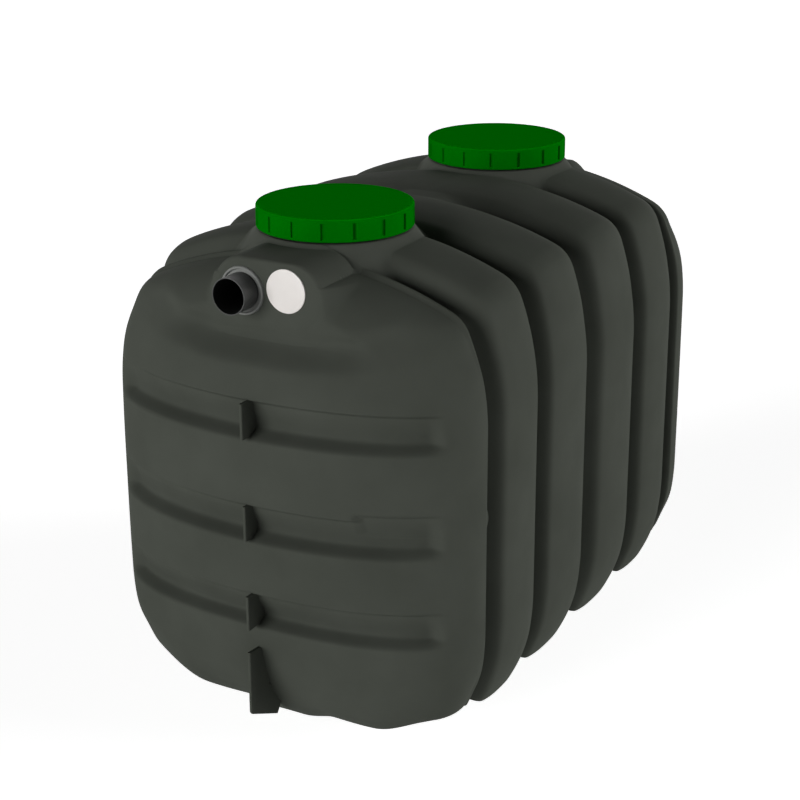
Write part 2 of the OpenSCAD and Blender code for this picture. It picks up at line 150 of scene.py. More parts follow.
def bulge(k: np.ndarray, power: float | np.ndarray) -> np.ndarray:
    """Height of a superellipse at a share k of its half width: (1 - |k|^p)^(1/p)."""
    return (1.0 - np.clip(np.abs(k), 0.0, 1.0) ** power) ** (1.0 / power)


def linear(hex_colour: str) -> tuple[float, float, float, float]:
    """Turns an sRGB hex colour into linear RGBA.

    Args:
        hex_colour: A colour such as "#42453f".

    Returns:
        The linear colour with alpha 1.
    """
    raw = np.array([int(hex_colour[i : i + 2], 16) for i in (1, 3, 5)]) / 255.0
    lin = np.where(raw <= 0.04045, raw / 12.92, ((raw + 0.055) / 1.055) ** 2.4)
    return (float(lin[0]), float(lin[1]), float(lin[2]), 1.0)


# -------------------------------------------------------------------- meshes


@dataclass
class Surface:
    """A mesh in the making: points, four-sided faces and three-sided faces."""

    points: np.ndarray
    quads: np.ndarray
    tris: np.ndarray = field(default_factory=lambda: np.zeros((0, 3), int))

    @staticmethod
    def sheet(grid: np.ndarray, closed: bool = False) -> "Surface":
        """Makes a surface from a grid of points.

        Args:
            grid: Points in rows and columns, shape (rows, columns, 3).
            closed: Whether the last column joins the first.

        Returns:
            The surface, its faces turned from the row direction to the column direction.
        """
        m, n = grid.shape[:2]
        i = np.arange(m - 1)[:, None]
        j = np.arange(n if closed else n - 1)[None, :]
        k = (j + 1) % n
        quads = np.stack([i * n + j, (i + 1) * n + j, (i + 1) * n + k, i * n + k], axis=-1)
        return Surface(grid.reshape(-1, 3), quads.reshape(-1, 4))

    @staticmethod
    def tube(grid: np.ndarray) -> "Surface":
        """Makes a closed solid from rings of points, with a fan over each end.

        Args:
            grid: Rings of points, shape (rings, points, 3).

        Returns:
            The closed surface with its faces outwards.
        """
        m, n = grid.shape[:2]
        body = Surface.sheet(grid, closed=True)
        ends = np.stack([grid[0].mean(axis=0), grid[-1].mean(axis=0)])
        j = np.arange(n)
        k = (j + 1) % n
        first = np.stack([np.full(n, m * n), j, k], axis=-1)
        last = np.stack([np.full(n, m * n + 1), (m - 1) * n + k, (m - 1) * n + j], axis=-1)
        solid = Surface(np.concatenate([body.points, ends]), body.quads, np.concatenate([first, last]))
        return solid if solid.volume() > 0 else solid.flipped()

    @staticmethod
    def hoop(grid: np.ndarray) -> "Surface":
        """Makes a closed ring solid from a closed profile turned about an axis.

        Args:
            grid: Points, shape (profile points, angles, 3), closed both ways.

        Returns:
            The closed surface with its faces outwards.
        """
        looped = np.concatenate([grid, grid[:1]], axis=0)
        m, n = looped.shape[:2]
        ring = Surface.sheet(looped, closed=True)
        quads = np.where(ring.quads >= (m - 1) * n, ring.quads - (m - 1) * n, ring.quads)
        solid = Surface(grid.reshape(-1, 3), quads)
        return solid if solid.volume() > 0 else solid.flipped()

    @staticmethod
    def joined(*parts: "Surface") -> "Surface":
        """Puts several surfaces into one.

        Args:
            parts: The surfaces.

        Returns:
            One surface with all their points and faces.
        """
        starts = np.cumsum([0] + [len(p.points) for p in parts])
        return Surface(
            np.concatenate([p.points for p in parts]),
            np.concatenate([p.quads + s for p, s in zip(parts, starts)]),
            np.concatenate([p.tris + s for p, s in zip(parts, starts)]),
        )

    def triangles(self) -> np.ndarray:
        """All faces as triangles."""
        q = self.quads
        return np.concatenate([q[:, [0, 1, 2]], q[:, [0, 2, 3]], self.tris])

    def volume(self) -> float:
        """Signed volume: the sum of a . (b x c) / 6 over the triangles."""
        a, b, c = (self.points[self.triangles()[:, i]] for i in range(3))
        return float(np.einsum("ij,ij->i", a, np.cross(b, c)).sum() / 6.0)

    def flipped(self) -> "Surface":
        """The same surface with its faces turned round."""
        return Surface(self.points, self.quads[:, ::-1], self.tris[:, ::-1])

    def at(self, end: End) -> "Surface":
        """The surface as made for the inlet end, or turned half round +Z for the outlet end."""
        turn = np.array([1.0, 1.0, 1.0]) if end is End.INLET else np.array([-1.0, -1.0, 1.0])
        return Surface(self.points * turn, self.quads, self.tris)

    def mirrored(self) -> "Surface":
        """The surface on the other side of the tank, with its faces still outwards."""
        return Surface(self.points * np.array([-1.0, 1.0, 1.0]), self.quads, self.tris).flipped()

    def bored(
        self, centre: tuple[float, float], axes: tuple[int, int], radius: float, above: float = -math.inf
    ) -> "Surface":
        """Cuts a round hole: faces with their middle in it go, and the edge left is moved onto the circle.

        Args:
            centre: Middle of the hole in the plane of the two axes.
            axes: The two coordinates, such as (0, 1) for a hole along Z.
            radius: Radius of the hole.
            above: Height under which no face is cut.

        Returns:
            The surface with the hole.
        """
        flat = self.points[:, list(axes)] - np.array(centre)
        gone = np.hypot(*flat[self.quads].mean(axis=1).T) < radius
        gone &= self.points[self.quads].mean(axis=1)[:, 2] > above
        inside, kept = np.zeros(len(flat), bool), np.zeros(len(flat), bool)
        inside[self.quads[gone].ravel()] = True
        kept[self.quads[~gone].ravel()] = True
        edge = inside & kept
        points = self.points.copy()
        scale = radius / np.maximum(np.hypot(*flat[edge].T), 1e-6)
        for column, axis in enumerate(axes):
            points[edge, axis] = centre[column] + flat[edge, column] * scale
        return Surface(points, self.quads[~gone], self.tris)


def turned(profile: np.ndarray, angles: np.ndarray) -> np.ndarray:
    """Turns a profile about the Z axis: (r cos a, r sin a, z).

    Args:
        profile: Rows of (r, z).
        angles: Angles in radians.

    Returns:
        A grid of points, shape (profile points, angles, 3).
    """
    r, z = profile[:, 0:1], profile[:, 1:2]
    return np.stack([r * np.cos(angles), r * np.sin(angles), z + 0.0 * angles], axis=-1)


def rounded(corners: list[tuple[float, float, float]], steps: int = 5, loop: bool = False) -> np.ndarray:
    """Rounds the corners of a flat outline.

    At each corner the outline leaves the straight at a distance d and follows
    the curve (1-t)^2 A + 2t(1-t) C + t^2 B between the two points so reached.

    Args:
        corners: (u, v, d) for each corner, d being how far back the curve starts.
        steps: Points on each rounded corner, less one.
        loop: Whether the last corner joins the first.

    Returns:
        The outline as rows of (u, v).
    """
    c = np.array(corners, float)
    out = []
    for i, (u, v, d) in enumerate(corners):
        if d <= 0 or (not loop and i in (0, len(corners) - 1)):
            out.append(np.array([[u, v]]))
            continue
        back, ahead = c[i - 1, :2] - c[i, :2], c[(i + 1) % len(c), :2] - c[i, :2]
        a = c[i, :2] + back / np.linalg.norm(back) * d
        b = c[i, :2] + ahead / np.linalg.norm(ahead) * d
        t = np.linspace(0.0, 1.0, steps + 1)[:, None]
        out.append((1 - t) ** 2 * a + 2 * t * (1 - t) * c[i, :2] + t**2 * b)
    return np.concatenate(out)


# ------------------------------------------------------------------- finishes


def add_node(
    tree: bpy.types.NodeTree, kind: str, inputs: dict | None = None, **settings: object
) -> bpy.types.Node:
    """Adds a node with its settings, values and links.

    Args:
        tree: The node tree.
        kind: The node's type name, such as "ShaderNodeTexNoise".
        inputs: Input name or number to a value, or to a socket that feeds it.
        settings: Properties of the node itself.

    Returns:
        The new node.
    """
    node = tree.nodes.new(kind)
    for name, value in settings.items():
        setattr(node, name, value)
    for name, value in (inputs or {}).items():
        if isinstance(value, bpy.types.NodeSocket):
            tree.links.new(value, node.inputs[name])
        else:
            node.inputs[name].default_value = value
    return node


def mapped(
    tree: bpy.types.NodeTree,
    value: bpy.types.NodeSocket,
    source: tuple[float, float],
    target: tuple[float, float] = (0.0, 1.0),
    **settings: object,
) -> bpy.types.NodeSocket:
    """Maps one range of a value onto another.

    Args:
        tree: The node tree.
        value: The socket to map.
        source: Its range.
        target: The range that it becomes.
        settings: Properties of the node itself.

    Returns:
        The mapped socket.
    """
    ends = {"From Min": source[0], "From Max": source[1], "To Min": target[0], "To Max": target[1]}
    return add_node(tree, "ShaderNodeMapRange", {"Value": value, **ends}, **settings).outputs["Result"]


def noise(tree: bpy.types.NodeTree, size_mm: float, detail: float, roughness: float) -> bpy.types.NodeSocket:
    """Adds a noise over the piece's own coordinates.

    Args:
        tree: The node tree.
        size_mm: Size of its grains.
        detail: Number of finer layers.
        roughness: Weight of the finer layers.

    Returns:
        The noise's socket.
    """
    place = add_node(tree, "ShaderNodeTexCoord").outputs["Object"]
    inputs = {"Vector": place, "Scale": 1.0 / (size_mm * MM), "Detail": detail, "Roughness": roughness}
    return add_node(tree, "ShaderNodeTexNoise", inputs).outputs["Fac"]


def blank_material(name: str) -> bpy.types.Material:
    """Makes a material with an empty node tree."""
    made = bpy.data.materials.new(name)
    made.use_nodes = True
    made.node_tree.nodes.clear()
    return made


def placed(name: str, data: bpy.types.ID) -> bpy.types.Object:
    """Makes an object of a mesh, light or camera and links it to the scene."""
    piece = bpy.data.objects.new(name, data)
    bpy.context.scene.collection.objects.link(piece)
    return piece


def ramp(
    tree: bpy.types.NodeTree, source: bpy.types.NodeSocket, stops: list[tuple[float, tuple]]
) -> bpy.types.NodeSocket:
    """Adds a colour ramp over a value.

    Args:
        tree: The node tree.
        source: The socket that drives the ramp.
        stops: (position, linear colour) from low to high.

    Returns:
        The ramp's colour socket.
    """
    node = add_node(tree, "ShaderNodeValToRGB", {"Fac": source})
    elements = node.color_ramp.elements
    while len(elements) < len(stops):
        elements.new(0.5)
    for element, (position, colour) in zip(elements, stops):
        element.position, element.color = position, colour
    return node.outputs["Color"]


@dataclass(frozen=True)
class Plastic:
    """A moulded or extruded plastic or rubber: two shades, a skin texture and a gloss.

    The shades drift over cloud_mm. skin_mm and wave_mm are the size and depth
    of the fine grain and of the slow waves in the surface, and the roughness
    drifts with the grain. Painted light: a lighter painted_top_light colour takes
    over on faces that look up, standing in for the light that falls on the top.
    """

    name: str
    slot: str
    shades: tuple[str, str]
    cloud_mm: float
    skin_mm: tuple[float, float]
    wave_mm: tuple[float, float]
    rough: tuple[float, float]
    ior: float = 1.5
    specular: float = 0.5
    sheen: float = 0.0
    painted_top_light: str = ""

    def _colour(self, tree: bpy.types.NodeTree) -> bpy.types.NodeSocket:
        """The drifting shade, and a lighter painted-light colour where the face looks up."""
        shade = mapped(tree, noise(tree, self.cloud_mm, 4.0, 0.55), (0.3, 0.7))
        colour = ramp(tree, shade, [(float(i), linear(tone)) for i, tone in enumerate(self.shades)])
        if not self.painted_top_light:
            return colour
        # Painted light: faces that look up take the lighter colour, as if lit from above.
        normal = add_node(tree, "ShaderNodeNewGeometry").outputs["Normal"]
        up = add_node(tree, "ShaderNodeSeparateXYZ", {"Vector": normal}).outputs["Z"]
        inputs = {"Factor": mapped(tree, up, (0.5, 0.95)), 6: colour, 7: linear(self.painted_top_light)}
        return add_node(tree, "ShaderNodeMix", inputs, data_type="RGBA").outputs[2]

    def material(self) -> bpy.types.Material:
        """Builds the material once and hands it back after that.

        Returns:
            The material.
        """
        found = bpy.data.materials.get(self.name)
        if found:
            return found
        made = blank_material(self.name)
        tree = made.node_tree
        skin = noise(tree, self.skin_mm[0], 2.0, 0.5)
        wave = noise(tree, self.wave_mm[0], 1.0, 0.4)
        low = add_node(
            tree, "ShaderNodeBump", {"Height": wave, "Strength": 1.0, "Distance": self.wave_mm[1] * MM}
        ).outputs["Normal"]
        high = add_node(
            tree, "ShaderNodeBump",
            {"Height": skin, "Strength": 1.0, "Distance": self.skin_mm[1] * MM, "Normal": low},
        ).outputs["Normal"]
        shader = add_node(
            tree, "ShaderNodeBsdfPrincipled",
            {
                "Base Color": self._colour(tree), "Normal": high,
                "Roughness": mapped(tree, skin, (0.25, 0.75), self.rough), "IOR": self.ior,
                "Specular IOR Level": self.specular, "Sheen Weight": self.sheen,
            },
        )
        add_node(tree, "ShaderNodeOutputMaterial", {"Surface": shader.outputs["BSDF"]})
        return made


# Rotomoulded black-grey polyethylene: a matt skin with a fine orange peel and
# slow waves where the sheet cooled unevenly, so its shading is broad and soft.
SHELL_FINISH = Plastic(
    "rotomoulded polyethylene", "body_plastic", ("#40433d", "#464943"), cloud_mm=240,
    skin_mm=(3.2, 0.10), wave_mm=(55, 0.35), rough=(0.55, 0.68), specular=0.01,
)
# The necks are the same sheet, drawn out thinner and a little paler.
NECK_FINISH = replace(
    SHELL_FINISH, name="rotomoulded polyethylene neck", slot="neck_plastic", shades=("#454842", "#4b4e48"),
    cloud_mm=180, wave_mm=(55, 0.25),
)
# Injection-moulded polypropylene lids: a deep green with a fine matt tool
# texture, with a lighter green painted on the top as painted light.
LID_FINISH = Plastic(
    "injection-moulded polypropylene", "lid_plastic", ("#006202", "#006a03"), cloud_mm=160,
    skin_mm=(1.6, 0.05), wave_mm=(40, 0.12), rough=(0.50, 0.60), specular=0.0, painted_top_light="#008c02",
)
# Extruded PVC pipe: smooth drawn surface with faint long variation.
PIPE_FINISH = Plastic(
    "extruded PVC pipe", "pipe_plastic", ("#3b3c3b", "#434443"), cloud_mm=120,
    skin_mm=(1.2, 0.02), wave_mm=(30, 0.06), rough=(0.38, 0.46), ior=1.53, specular=0.25,
)
# Painted shade: the pipe's bore is lined with a near-black, matt skin that stands in for the shade inside
# it.
BORE_SHADE_FINISH = replace(
    PIPE_FINISH, name="painted bore shade", shades=("#070807", "#0b0c0b"),
    rough=(0.75, 0.85), ior=1.45, specular=0.1,
)
# Moulded EPDM rubber: matt, with a slight bloom that lifts its edges.
SEAL_FINISH = Plastic(
    "moulded EPDM rubber", "seal_rubber", ("#6e706d", "#767875"), cloud_mm=90,
    skin_mm=(1.2, 0.03), wave_mm=(25, 0.05), rough=(0.62, 0.74), ior=1.52, specular=0.2, sheen=0.05,
)
# Rigid PVC sheet for the blanking disc: cut, flat and a warm white.
DISC_FINISH = Plastic(
    "rigid PVC sheet", "disc_plastic", ("#d6d1cd", "#dcd8d4"), cloud_mm=90,
    skin_mm=(1.0, 0.01), wave_mm=(40, 0.05), rough=(0.34, 0.44), ior=1.53, specular=0.45,
)
# Moulded nitrile rubber ring: black and matt.
RING_FINISH = replace(
    SEAL_FINISH, name="moulded nitrile rubber", slot="gasket_rubber", shades=("#1a1a1a", "#202020"),
    rough=(0.6, 0.72), specular=0.3, sheen=0.0,
)


def put(
    name: str,
    surface: Surface,
    finish: Plastic,
    stands_for: tuple[str, ...],
    sharp_over: float,
    body: Body = Body.TANK,
) -> None:
    """Turns a surface into a piece of the model.

    Args:
        name: The piece's name.
        surface: Its shape, in place.
        finish: Its finish.
        stands_for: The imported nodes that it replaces.
        sharp_over: Edges sharper than this many degrees stay sharp.
        body: The body that it moves with.
    """
    mesh = bpy.data.meshes.new(name)
    mesh.from_pydata(surface.points.tolist(), [], surface.quads.tolist() + surface.tris.tolist())
    mesh.update()
    mesh.polygons.foreach_set("use_smooth", np.ones(len(mesh.polygons), bool))
    mesh.set_sharp_from_angle(angle=math.radians(sharp_over))
    mesh.materials.append(finish.material())
    piece = placed(name, mesh)
    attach(piece, body.value)
    if stands_for:
        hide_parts(*stands_for)
    log.info("%s: %d points, %d faces", name, len(mesh.vertices), len(mesh.polygons))


# --------------------------------------------------------------------- shapes


@dataclass
class Section:
    """The tank's cross-section: arcs for roof, shoulder, flank, lower corner and belly.

    Angles are those of the outward normal, in degrees from straight up.
    """

    half_w: float
    height: float
    roof_r: float = 1.2
    shoulder_r: float = 0.110
    corner_r: float = 0.095
    belly_r: float = 1.3
    base_flat: float = 0.180
    roof_end: float = 24.5
    shoulder_end: float = 68.0
    flank_end: float = 110.0
    corner_end: float = 166.0
    crown_x: float = 0.290

    @staticmethod
    def _toward(c: tuple[float, float], r0: float, r1: float, angle: float) -> tuple[float, float]:
        """Centre of an arc of radius r1 that carries on from one of radius r0 at an angle."""
        return (c[0] + (r0 - r1) * sin_deg(angle), c[1] + (r0 - r1) * cos_deg(angle))

    @staticmethod
    def _leg(along: np.ndarray, centre: float, radius: float) -> np.ndarray:
        """sqrt(r^2 - d^2), with d the distance from an arc's centre along the other axis."""
        return np.sqrt(np.maximum(0.0, radius**2 - (along - centre) ** 2))

    @cached_property
    def roof_c(self) -> tuple[float, float]:
        """Centre of the roof arc."""
        return (0.0, self.height - self.roof_r)

    @cached_property
    def shoulder_c(self) -> tuple[float, float]:
        """Centre of the shoulder arc."""
        return self._toward(self.roof_c, self.roof_r, self.shoulder_r, self.roof_end)

    @cached_property
    def belly_c(self) -> tuple[float, float]:
        """Centre of the belly arc."""
        return (self.base_flat, self.belly_r)

    @cached_property
    def corner_c(self) -> tuple[float, float]:
        """Centre of the lower corner's arc."""
        return self._toward(self.belly_c, self.belly_r, self.corner_r, self.corner_end)

    @cached_property
    def upper(self) -> tuple[float, float, float]:
        """Centre and radius of the upper flank, which touches the full width."""
        s = sin_deg(self.shoulder_end)
        r = (self.half_w - self.shoulder_c[0] - self.shoulder_r * s) / (1 - s)
        return (*self._toward(self.shoulder_c, self.shoulder_r, r, self.shoulder_end), r)

    @cached_property
    def lower(self) -> tuple[float, float, float]:
        """Centre and radius of the lower flank, which touches the full width."""
        s = sin_deg(self.flank_end)
        r = (self.half_w - self.corner_c[0] - self.corner_r * s) / (1 - s)
        return (*self._toward(self.corner_c, self.corner_r, r, self.flank_end), r)

    def _bands(self, z: np.ndarray) -> list[np.ndarray]:
        """Which arc each height is on, from the roof down, as a list of masks."""
        return [
            z >= self.roof_c[1] + self.roof_r * cos_deg(self.roof_end),
            z >= self.shoulder_c[1] + self.shoulder_r * cos_deg(self.shoulder_end),
            z >= self.upper[1],
            z >= self.lower[1],
            z >= self.lower[1] + self.lower[2] * cos_deg(self.flank_end),
            z >= self.corner_c[1] + self.corner_r * cos_deg(self.corner_end),
        ]

    def half_width(self, z: np.ndarray) -> np.ndarray:
        """Half the width at a height: centre x plus sqrt(r^2 - (z - centre z)^2) of its arc.

        Args:
            z: Heights.

        Returns:
            The half widths.
        """
        arcs = [
            (self.roof_c, self.roof_r), (self.shoulder_c, self.shoulder_r), (self.upper, self.upper[2]),
            (self.lower, self.lower[2]), (self.corner_c, self.corner_r), (self.belly_c, self.belly_r),
        ]
        widths = [c[0] + self._leg(z, c[1], r) for c, r in arcs]
        return np.select(self._bands(z), [*widths[:3], self.half_w + 0.0 * z, *widths[3:5]], widths[5])

    def roof_z(self, x: np.ndarray) -> np.ndarray:
        """Height of the roof above x: centre z plus sqrt(r^2 - (x - centre x)^2) of its arc."""
        a = np.abs(x)
        roof = self.roof_c[1] + self._leg(a, 0.0, self.roof_r)
        shoulder = self.shoulder_c[1] + self._leg(a, self.shoulder_c[0], self.shoulder_r)
        return np.where(a <= self.roof_r * sin_deg(self.roof_end), roof, shoulder)

    def under_z(self, x: np.ndarray) -> np.ndarray:
        """Height of the underside above x: flat, then the belly arc, then the corner arc."""
        a = np.abs(x)
        belly = self.belly_r - self._leg(a, self.base_flat, self.belly_r)
        corner = self.corner_c[1] - self._leg(a, self.corner_c[0], self.corner_r)
        belly_x = self.base_flat + self.belly_r * sin_deg(self.corner_end)
        return np.select([a <= self.base_flat, a <= belly_x], [0.0 * a, belly], corner)

    def normal(self, x: np.ndarray, z: np.ndarray) -> np.ndarray:
        """Angle of the outward normal at points of the outline, in degrees from straight up.

        Args:
            x: Distances from the middle, of either sign.
            z: Heights.

        Returns:
            Angles from 0 on the roof to 180 underneath, the same on both sides.
        """
        a = np.abs(x)
        centres = (self.roof_c, self.shoulder_c, self.upper, self.lower, self.corner_c, self.belly_c)
        turns = [np.degrees(np.arctan2(a - c[0], z - c[1])) for c in centres]
        belly = np.where(a > self.base_flat, turns[5], 180.0)
        return np.select(self._bands(z), [*turns[:3], 90.0 + 0.0 * z, *turns[3:5]], belly)

    @cached_property
    def crown(self) -> float:
        """Angle of the roof's normal at the edge of the crown, in degrees."""
        return math.degrees(math.asin(self.crown_x / self.roof_r))

    def sink(self, angle: np.ndarray) -> np.ndarray:
        """Direction in which a groove sinks where the normal has this angle, in degrees.

        It is straight down on the crown, turns evenly to level at the flank and
        evenly on to straight up under the belly.
        """
        stops = [0.0, self.crown, 90.0, self.corner_end, 180.0]
        return np.interp(angle, stops, [0.0, 0.0, 90.0, 180.0, 180.0])


@dataclass
class Hoops:
    """The grooves round the barrel and the smaller outline where a domed end starts.

    Pairs of numbers are where a smooth step starts and how far it runs.
    """

    section: Section
    rim_y: float
    swell: float
    outer_shoulder_swell: float = 0.032
    inner_shoulder_swell: float = 0.050
    swell_from: float = 0.6
    swell_power: float = 2.5
    swell_angles: tuple[float, ...] = (15.0, 24.0, 36.0, 50.0, 68.0, 80.0)
    shoulder_shares: tuple[float, ...] = (0.22, 0.85, 0.94, 0.90, 0.62, 0.06)
    corner_angles: tuple[float, float] = (124.0, 138.0)
    corner_shares: tuple[float, float] = (0.8, 0.2)
    depth: float = 0.060
    centres: tuple[float, ...] = (-0.697, -0.370, 0.0, 0.370, 0.697)
    halves: tuple[float, ...] = (0.055, 0.046, 0.062, 0.046, 0.055)
    lip: float = 0.026
    floor_share: float = 0.08
    end_half: float = 0.040
    end_floor_share: float = 0.25
    roof_fade: tuple[float, float] = (0.040, 0.220)
    end_drop: float = 0.038
    end_lift: float = 0.042
    floor_lift: float = 0.022
    lift_x: tuple[float, float] = (0.300, 0.190)
    lift_z: tuple[float, float] = (0.130, 0.190)
    floor_x: tuple[float, float] = (0.050, 0.110)
    floor_z: tuple[float, float] = (0.030, 0.260)
    drop_z: tuple[float, float] = (1.130, 0.200)
    corner_cut: float = 0.058
    cut_from: tuple[float, float] = (98.0, 34.0)
    cut_to: tuple[float, float] = (180.0, 18.0)

    def rows(self) -> np.ndarray:
        """Positions along the barrel: 5 mm steps over the grooves and lips, 10 mm steps over the hoops."""
        y = np.linspace(-self.rim_y, self.rim_y, FINE_POINTS)
        gaps = [np.abs(y - c) - h - self.lip for c, h in zip(self.centres, self.halves)]
        return spaced(y, np.where(np.min(gaps, axis=0) < 0, 0.005, 0.010))

    def share(self, y: np.ndarray) -> np.ndarray:
        """Share of the groove's depth.

        Beside a hoop it is (0.5 + 0.5 cos(pi t))^2, with t running from 0 near
        the groove's middle to 1 past its lip. Beside a domed end it is full over
        the inner quarter and then half a cosine to nothing.
        """
        best = np.zeros_like(y)
        for centre, half in zip(self.centres, self.halves):
            off = y - centre
            wide = self._half_cosine(np.abs(off) / (half + self.lip), self.floor_share) ** 2
            steep = self._half_cosine(np.abs(off) / self.end_half, self.end_floor_share)
            at_end = (abs(centre) == max(self.centres)) & (off * centre > 0)
            best = np.maximum(best, np.where(at_end, steep, wide))
        return best

    @staticmethod
    def _half_cosine(off: np.ndarray, flat: float) -> np.ndarray:
        """Full up to the flat share of a groove's half width, then half a cosine to nothing at 1."""
        return 0.5 + 0.5 * np.cos(np.pi * np.clip((off - flat) / (1 - flat), 0, 1))

    def swell_share(self, y: np.ndarray) -> np.ndarray:
        """Share of the swell along a hoop: 1 - |u|^p, with u from -1 to 1 between points in its grooves."""
        c, h = np.array(self.centres), np.array(self.halves)
        i = np.clip(np.searchsorted(c, y) - 1, 0, len(c) - 2)
        low, high = c[i] + self.swell_from * h[i], c[i + 1] - self.swell_from * h[i + 1]
        u = (y - (low + high) / 2) / ((high - low) / 2)
        return np.maximum(0.0, 1 - np.abs(u) ** self.swell_power)

    def swell_at(self, angle: np.ndarray, y: np.ndarray) -> np.ndarray:
        """How far the middle of a hoop swells where the normal has this angle: most at the shoulders."""
        stops = [0.0, *self.swell_angles, self.section.flank_end, *self.corner_angles, 180.0]
        side = self.swell
        inner, outer = (
            np.interp(
                angle, stops,
                [CROWN_SWELL * side, *(side + np.array(self.shoulder_shares) * (shoulder - side)),
                 *(share * side for share in self.corner_shares), 0.0, 0.0],
            )
            for shoulder in (self.inner_shoulder_swell, self.outer_shoulder_swell)
        )
        return np.where(np.abs(y) < self.centres[3], inner, outer)

    def end_share(self, y: np.ndarray) -> np.ndarray:
        """Share of the end section's smaller outline, from the outer groove's floor to the rim."""
        start = self.centres[-1] + self.halves[-1] / 4
        return eased(np.abs(y), start, self.rim_y - start)

    def end_shift(self, x: np.ndarray, z: np.ndarray) -> np.ndarray:
        """How far the end section stands above the plain one.

        Its lower corners are lifted, its belly is raised away from the middle
        and its roof is lower.
        """
        a = np.abs(x)
        lift = self.end_lift * eased(a, *self.lift_x) * (1 - eased(z, *self.lift_z))
        floor = self.floor_lift * (1 - eased(z, *self.floor_z)) * eased(a, *self.floor_x)
        return lift + floor - self.end_drop * eased(z, *self.drop_z)

    def fade(self, x: np.ndarray) -> np.ndarray:
        """Share of the groove on the roof, which runs out towards the middle of the tank."""
        return eased(np.abs(x), *self.roof_fade)

    def barrel(self, x: np.ndarray, z: np.ndarray) -> np.ndarray:
        """The barrel's surface over outline points and rows.

        point = outline + end section's shift - (depth * share - swell + cut) * (sin s, cos s),
        where s is the sinking direction at the outline's normal and the cut
        rounds the lower corners further.

        Args:
            x: Outline x.
            z: Outline z.

        Returns:
            A grid of points, shape (rows, outline points, 3).
        """
        y = self.rows()[:, None]
        angle = self.section.normal(x, z)
        s = np.radians(self.section.sink(angle))
        fade = np.where(angle <= self.section.crown, self.fade(x), 1.0)
        sink = self.depth * self.share(y) * fade - self.swell_share(y) * self.swell_at(angle, y)
        cut = eased(angle, *self.cut_from) * smooth((self.cut_to[0] - angle) / self.cut_to[1])
        sink = sink + (1 - self.end_share(y)) * self.corner_cut * cut
        px = x - np.sign(x) * sink * np.sin(s)
        pz = z + self.end_share(y) * self.end_shift(x, z) - sink * np.cos(s)
        return np.stack([px, y + 0.0 * px, pz], axis=-1)

    def roof(self, x: np.ndarray, y: np.ndarray) -> np.ndarray:
        """Height of the barrel's roof over (x, y)."""
        z = self.section.roof_z(x)
        raised = self.swell_share(y) * self.swell_at(self.section.normal(x, z), y)
        sunk = self.depth * self.share(y) * self.fade(x)
        return z + self.end_share(y) * self.end_shift(x, z) - sunk + raised


@dataclass
class Pad:
    """The flat boss at each end that carries the pipe and the spare socket."""

    face_y: float
    axis_z: float
    rim_y: float
    radius: float = 0.100
    half: float = 0.085
    centre_x: float = 0.015
    seat: float = 0.0004
    ease: float = 0.100
    spread: float = 3.0
    fillet: float = 0.045
    fillet_in: float = 0.060
    valley: float = 0.014
    valley_in: float = 0.028
    pipe_x: float = -0.068
    pipe_r: float = 0.055
    sleeve_r: float = 0.062

    def gap(self, x: np.ndarray, z: np.ndarray) -> np.ndarray:
        """Distance outside the pad's outline, drawn out sideways: sqrt((dx / spread)^2 + dz^2) - radius."""
        off = np.maximum(0.0, np.abs(x - self.centre_x) - self.half) / self.spread
        return np.maximum(0.0, np.hypot(off, z - self.axis_z) - self.radius)

    def hollow(self, x: np.ndarray, z: np.ndarray) -> np.ndarray:
        """Depth of the soft valley under the pad, which runs out at the end of the ease."""
        gap = self.gap(x, z)
        under = smooth((self.axis_z - z) / self.radius)
        fade = 1 - eased(gap, self.valley_in, self.ease - self.valley_in)
        return self.valley * under * smooth(gap / self.valley_in) * fade

    def skirt(self, x: np.ndarray, z: np.ndarray) -> np.ndarray:
        """Share to which the dome rises to the pad's face beside its two ends, in a fillet."""
        off = np.abs(x - self.centre_x) - self.half
        gap = np.hypot(np.maximum(0.0, off), z - self.axis_z) - self.radius
        return (1 - smooth(gap / self.fillet)) * smooth(off / self.fillet_in)

    def reach(self, angle: np.ndarray) -> np.ndarray:
        """Distance from the pipe's axis to the pad's outline in each direction.

        Where a ray meets a flat side it is radius / |sin|, and else the root of
        t^2 + 2 b t + q^2 - r^2 = 0 for the round end that it meets.

        Args:
            angle: Directions in radians, 0 towards +X.

        Returns:
            The distances.
        """
        c, s = np.cos(angle), np.sin(angle)
        start = self.pipe_x - self.centre_x
        flat = self.radius / np.maximum(np.abs(s), 1e-9)
        side = np.where(start + c * flat > self.half, self.half, -self.half)
        q = start - side
        b = q * c
        arc = -b + np.sqrt(np.maximum(0.0, b * b - q * q + self.radius**2))
        return np.where(np.abs(start + c * flat) <= self.half, flat, arc)

    def top(self, x: np.ndarray, y: np.ndarray) -> np.ndarray:
        """Height of the pad's upper side over (x, y), and the ground where there is no pad."""
        off = np.maximum(0.0, np.abs(x - self.centre_x) - self.half)
        z = self.axis_z + np.sqrt(np.maximum(0.0, self.radius**2 - off**2))
        return np.where((off < self.radius) & (y > self.face_y) & (y < -self.rim_y), z, 0.0)


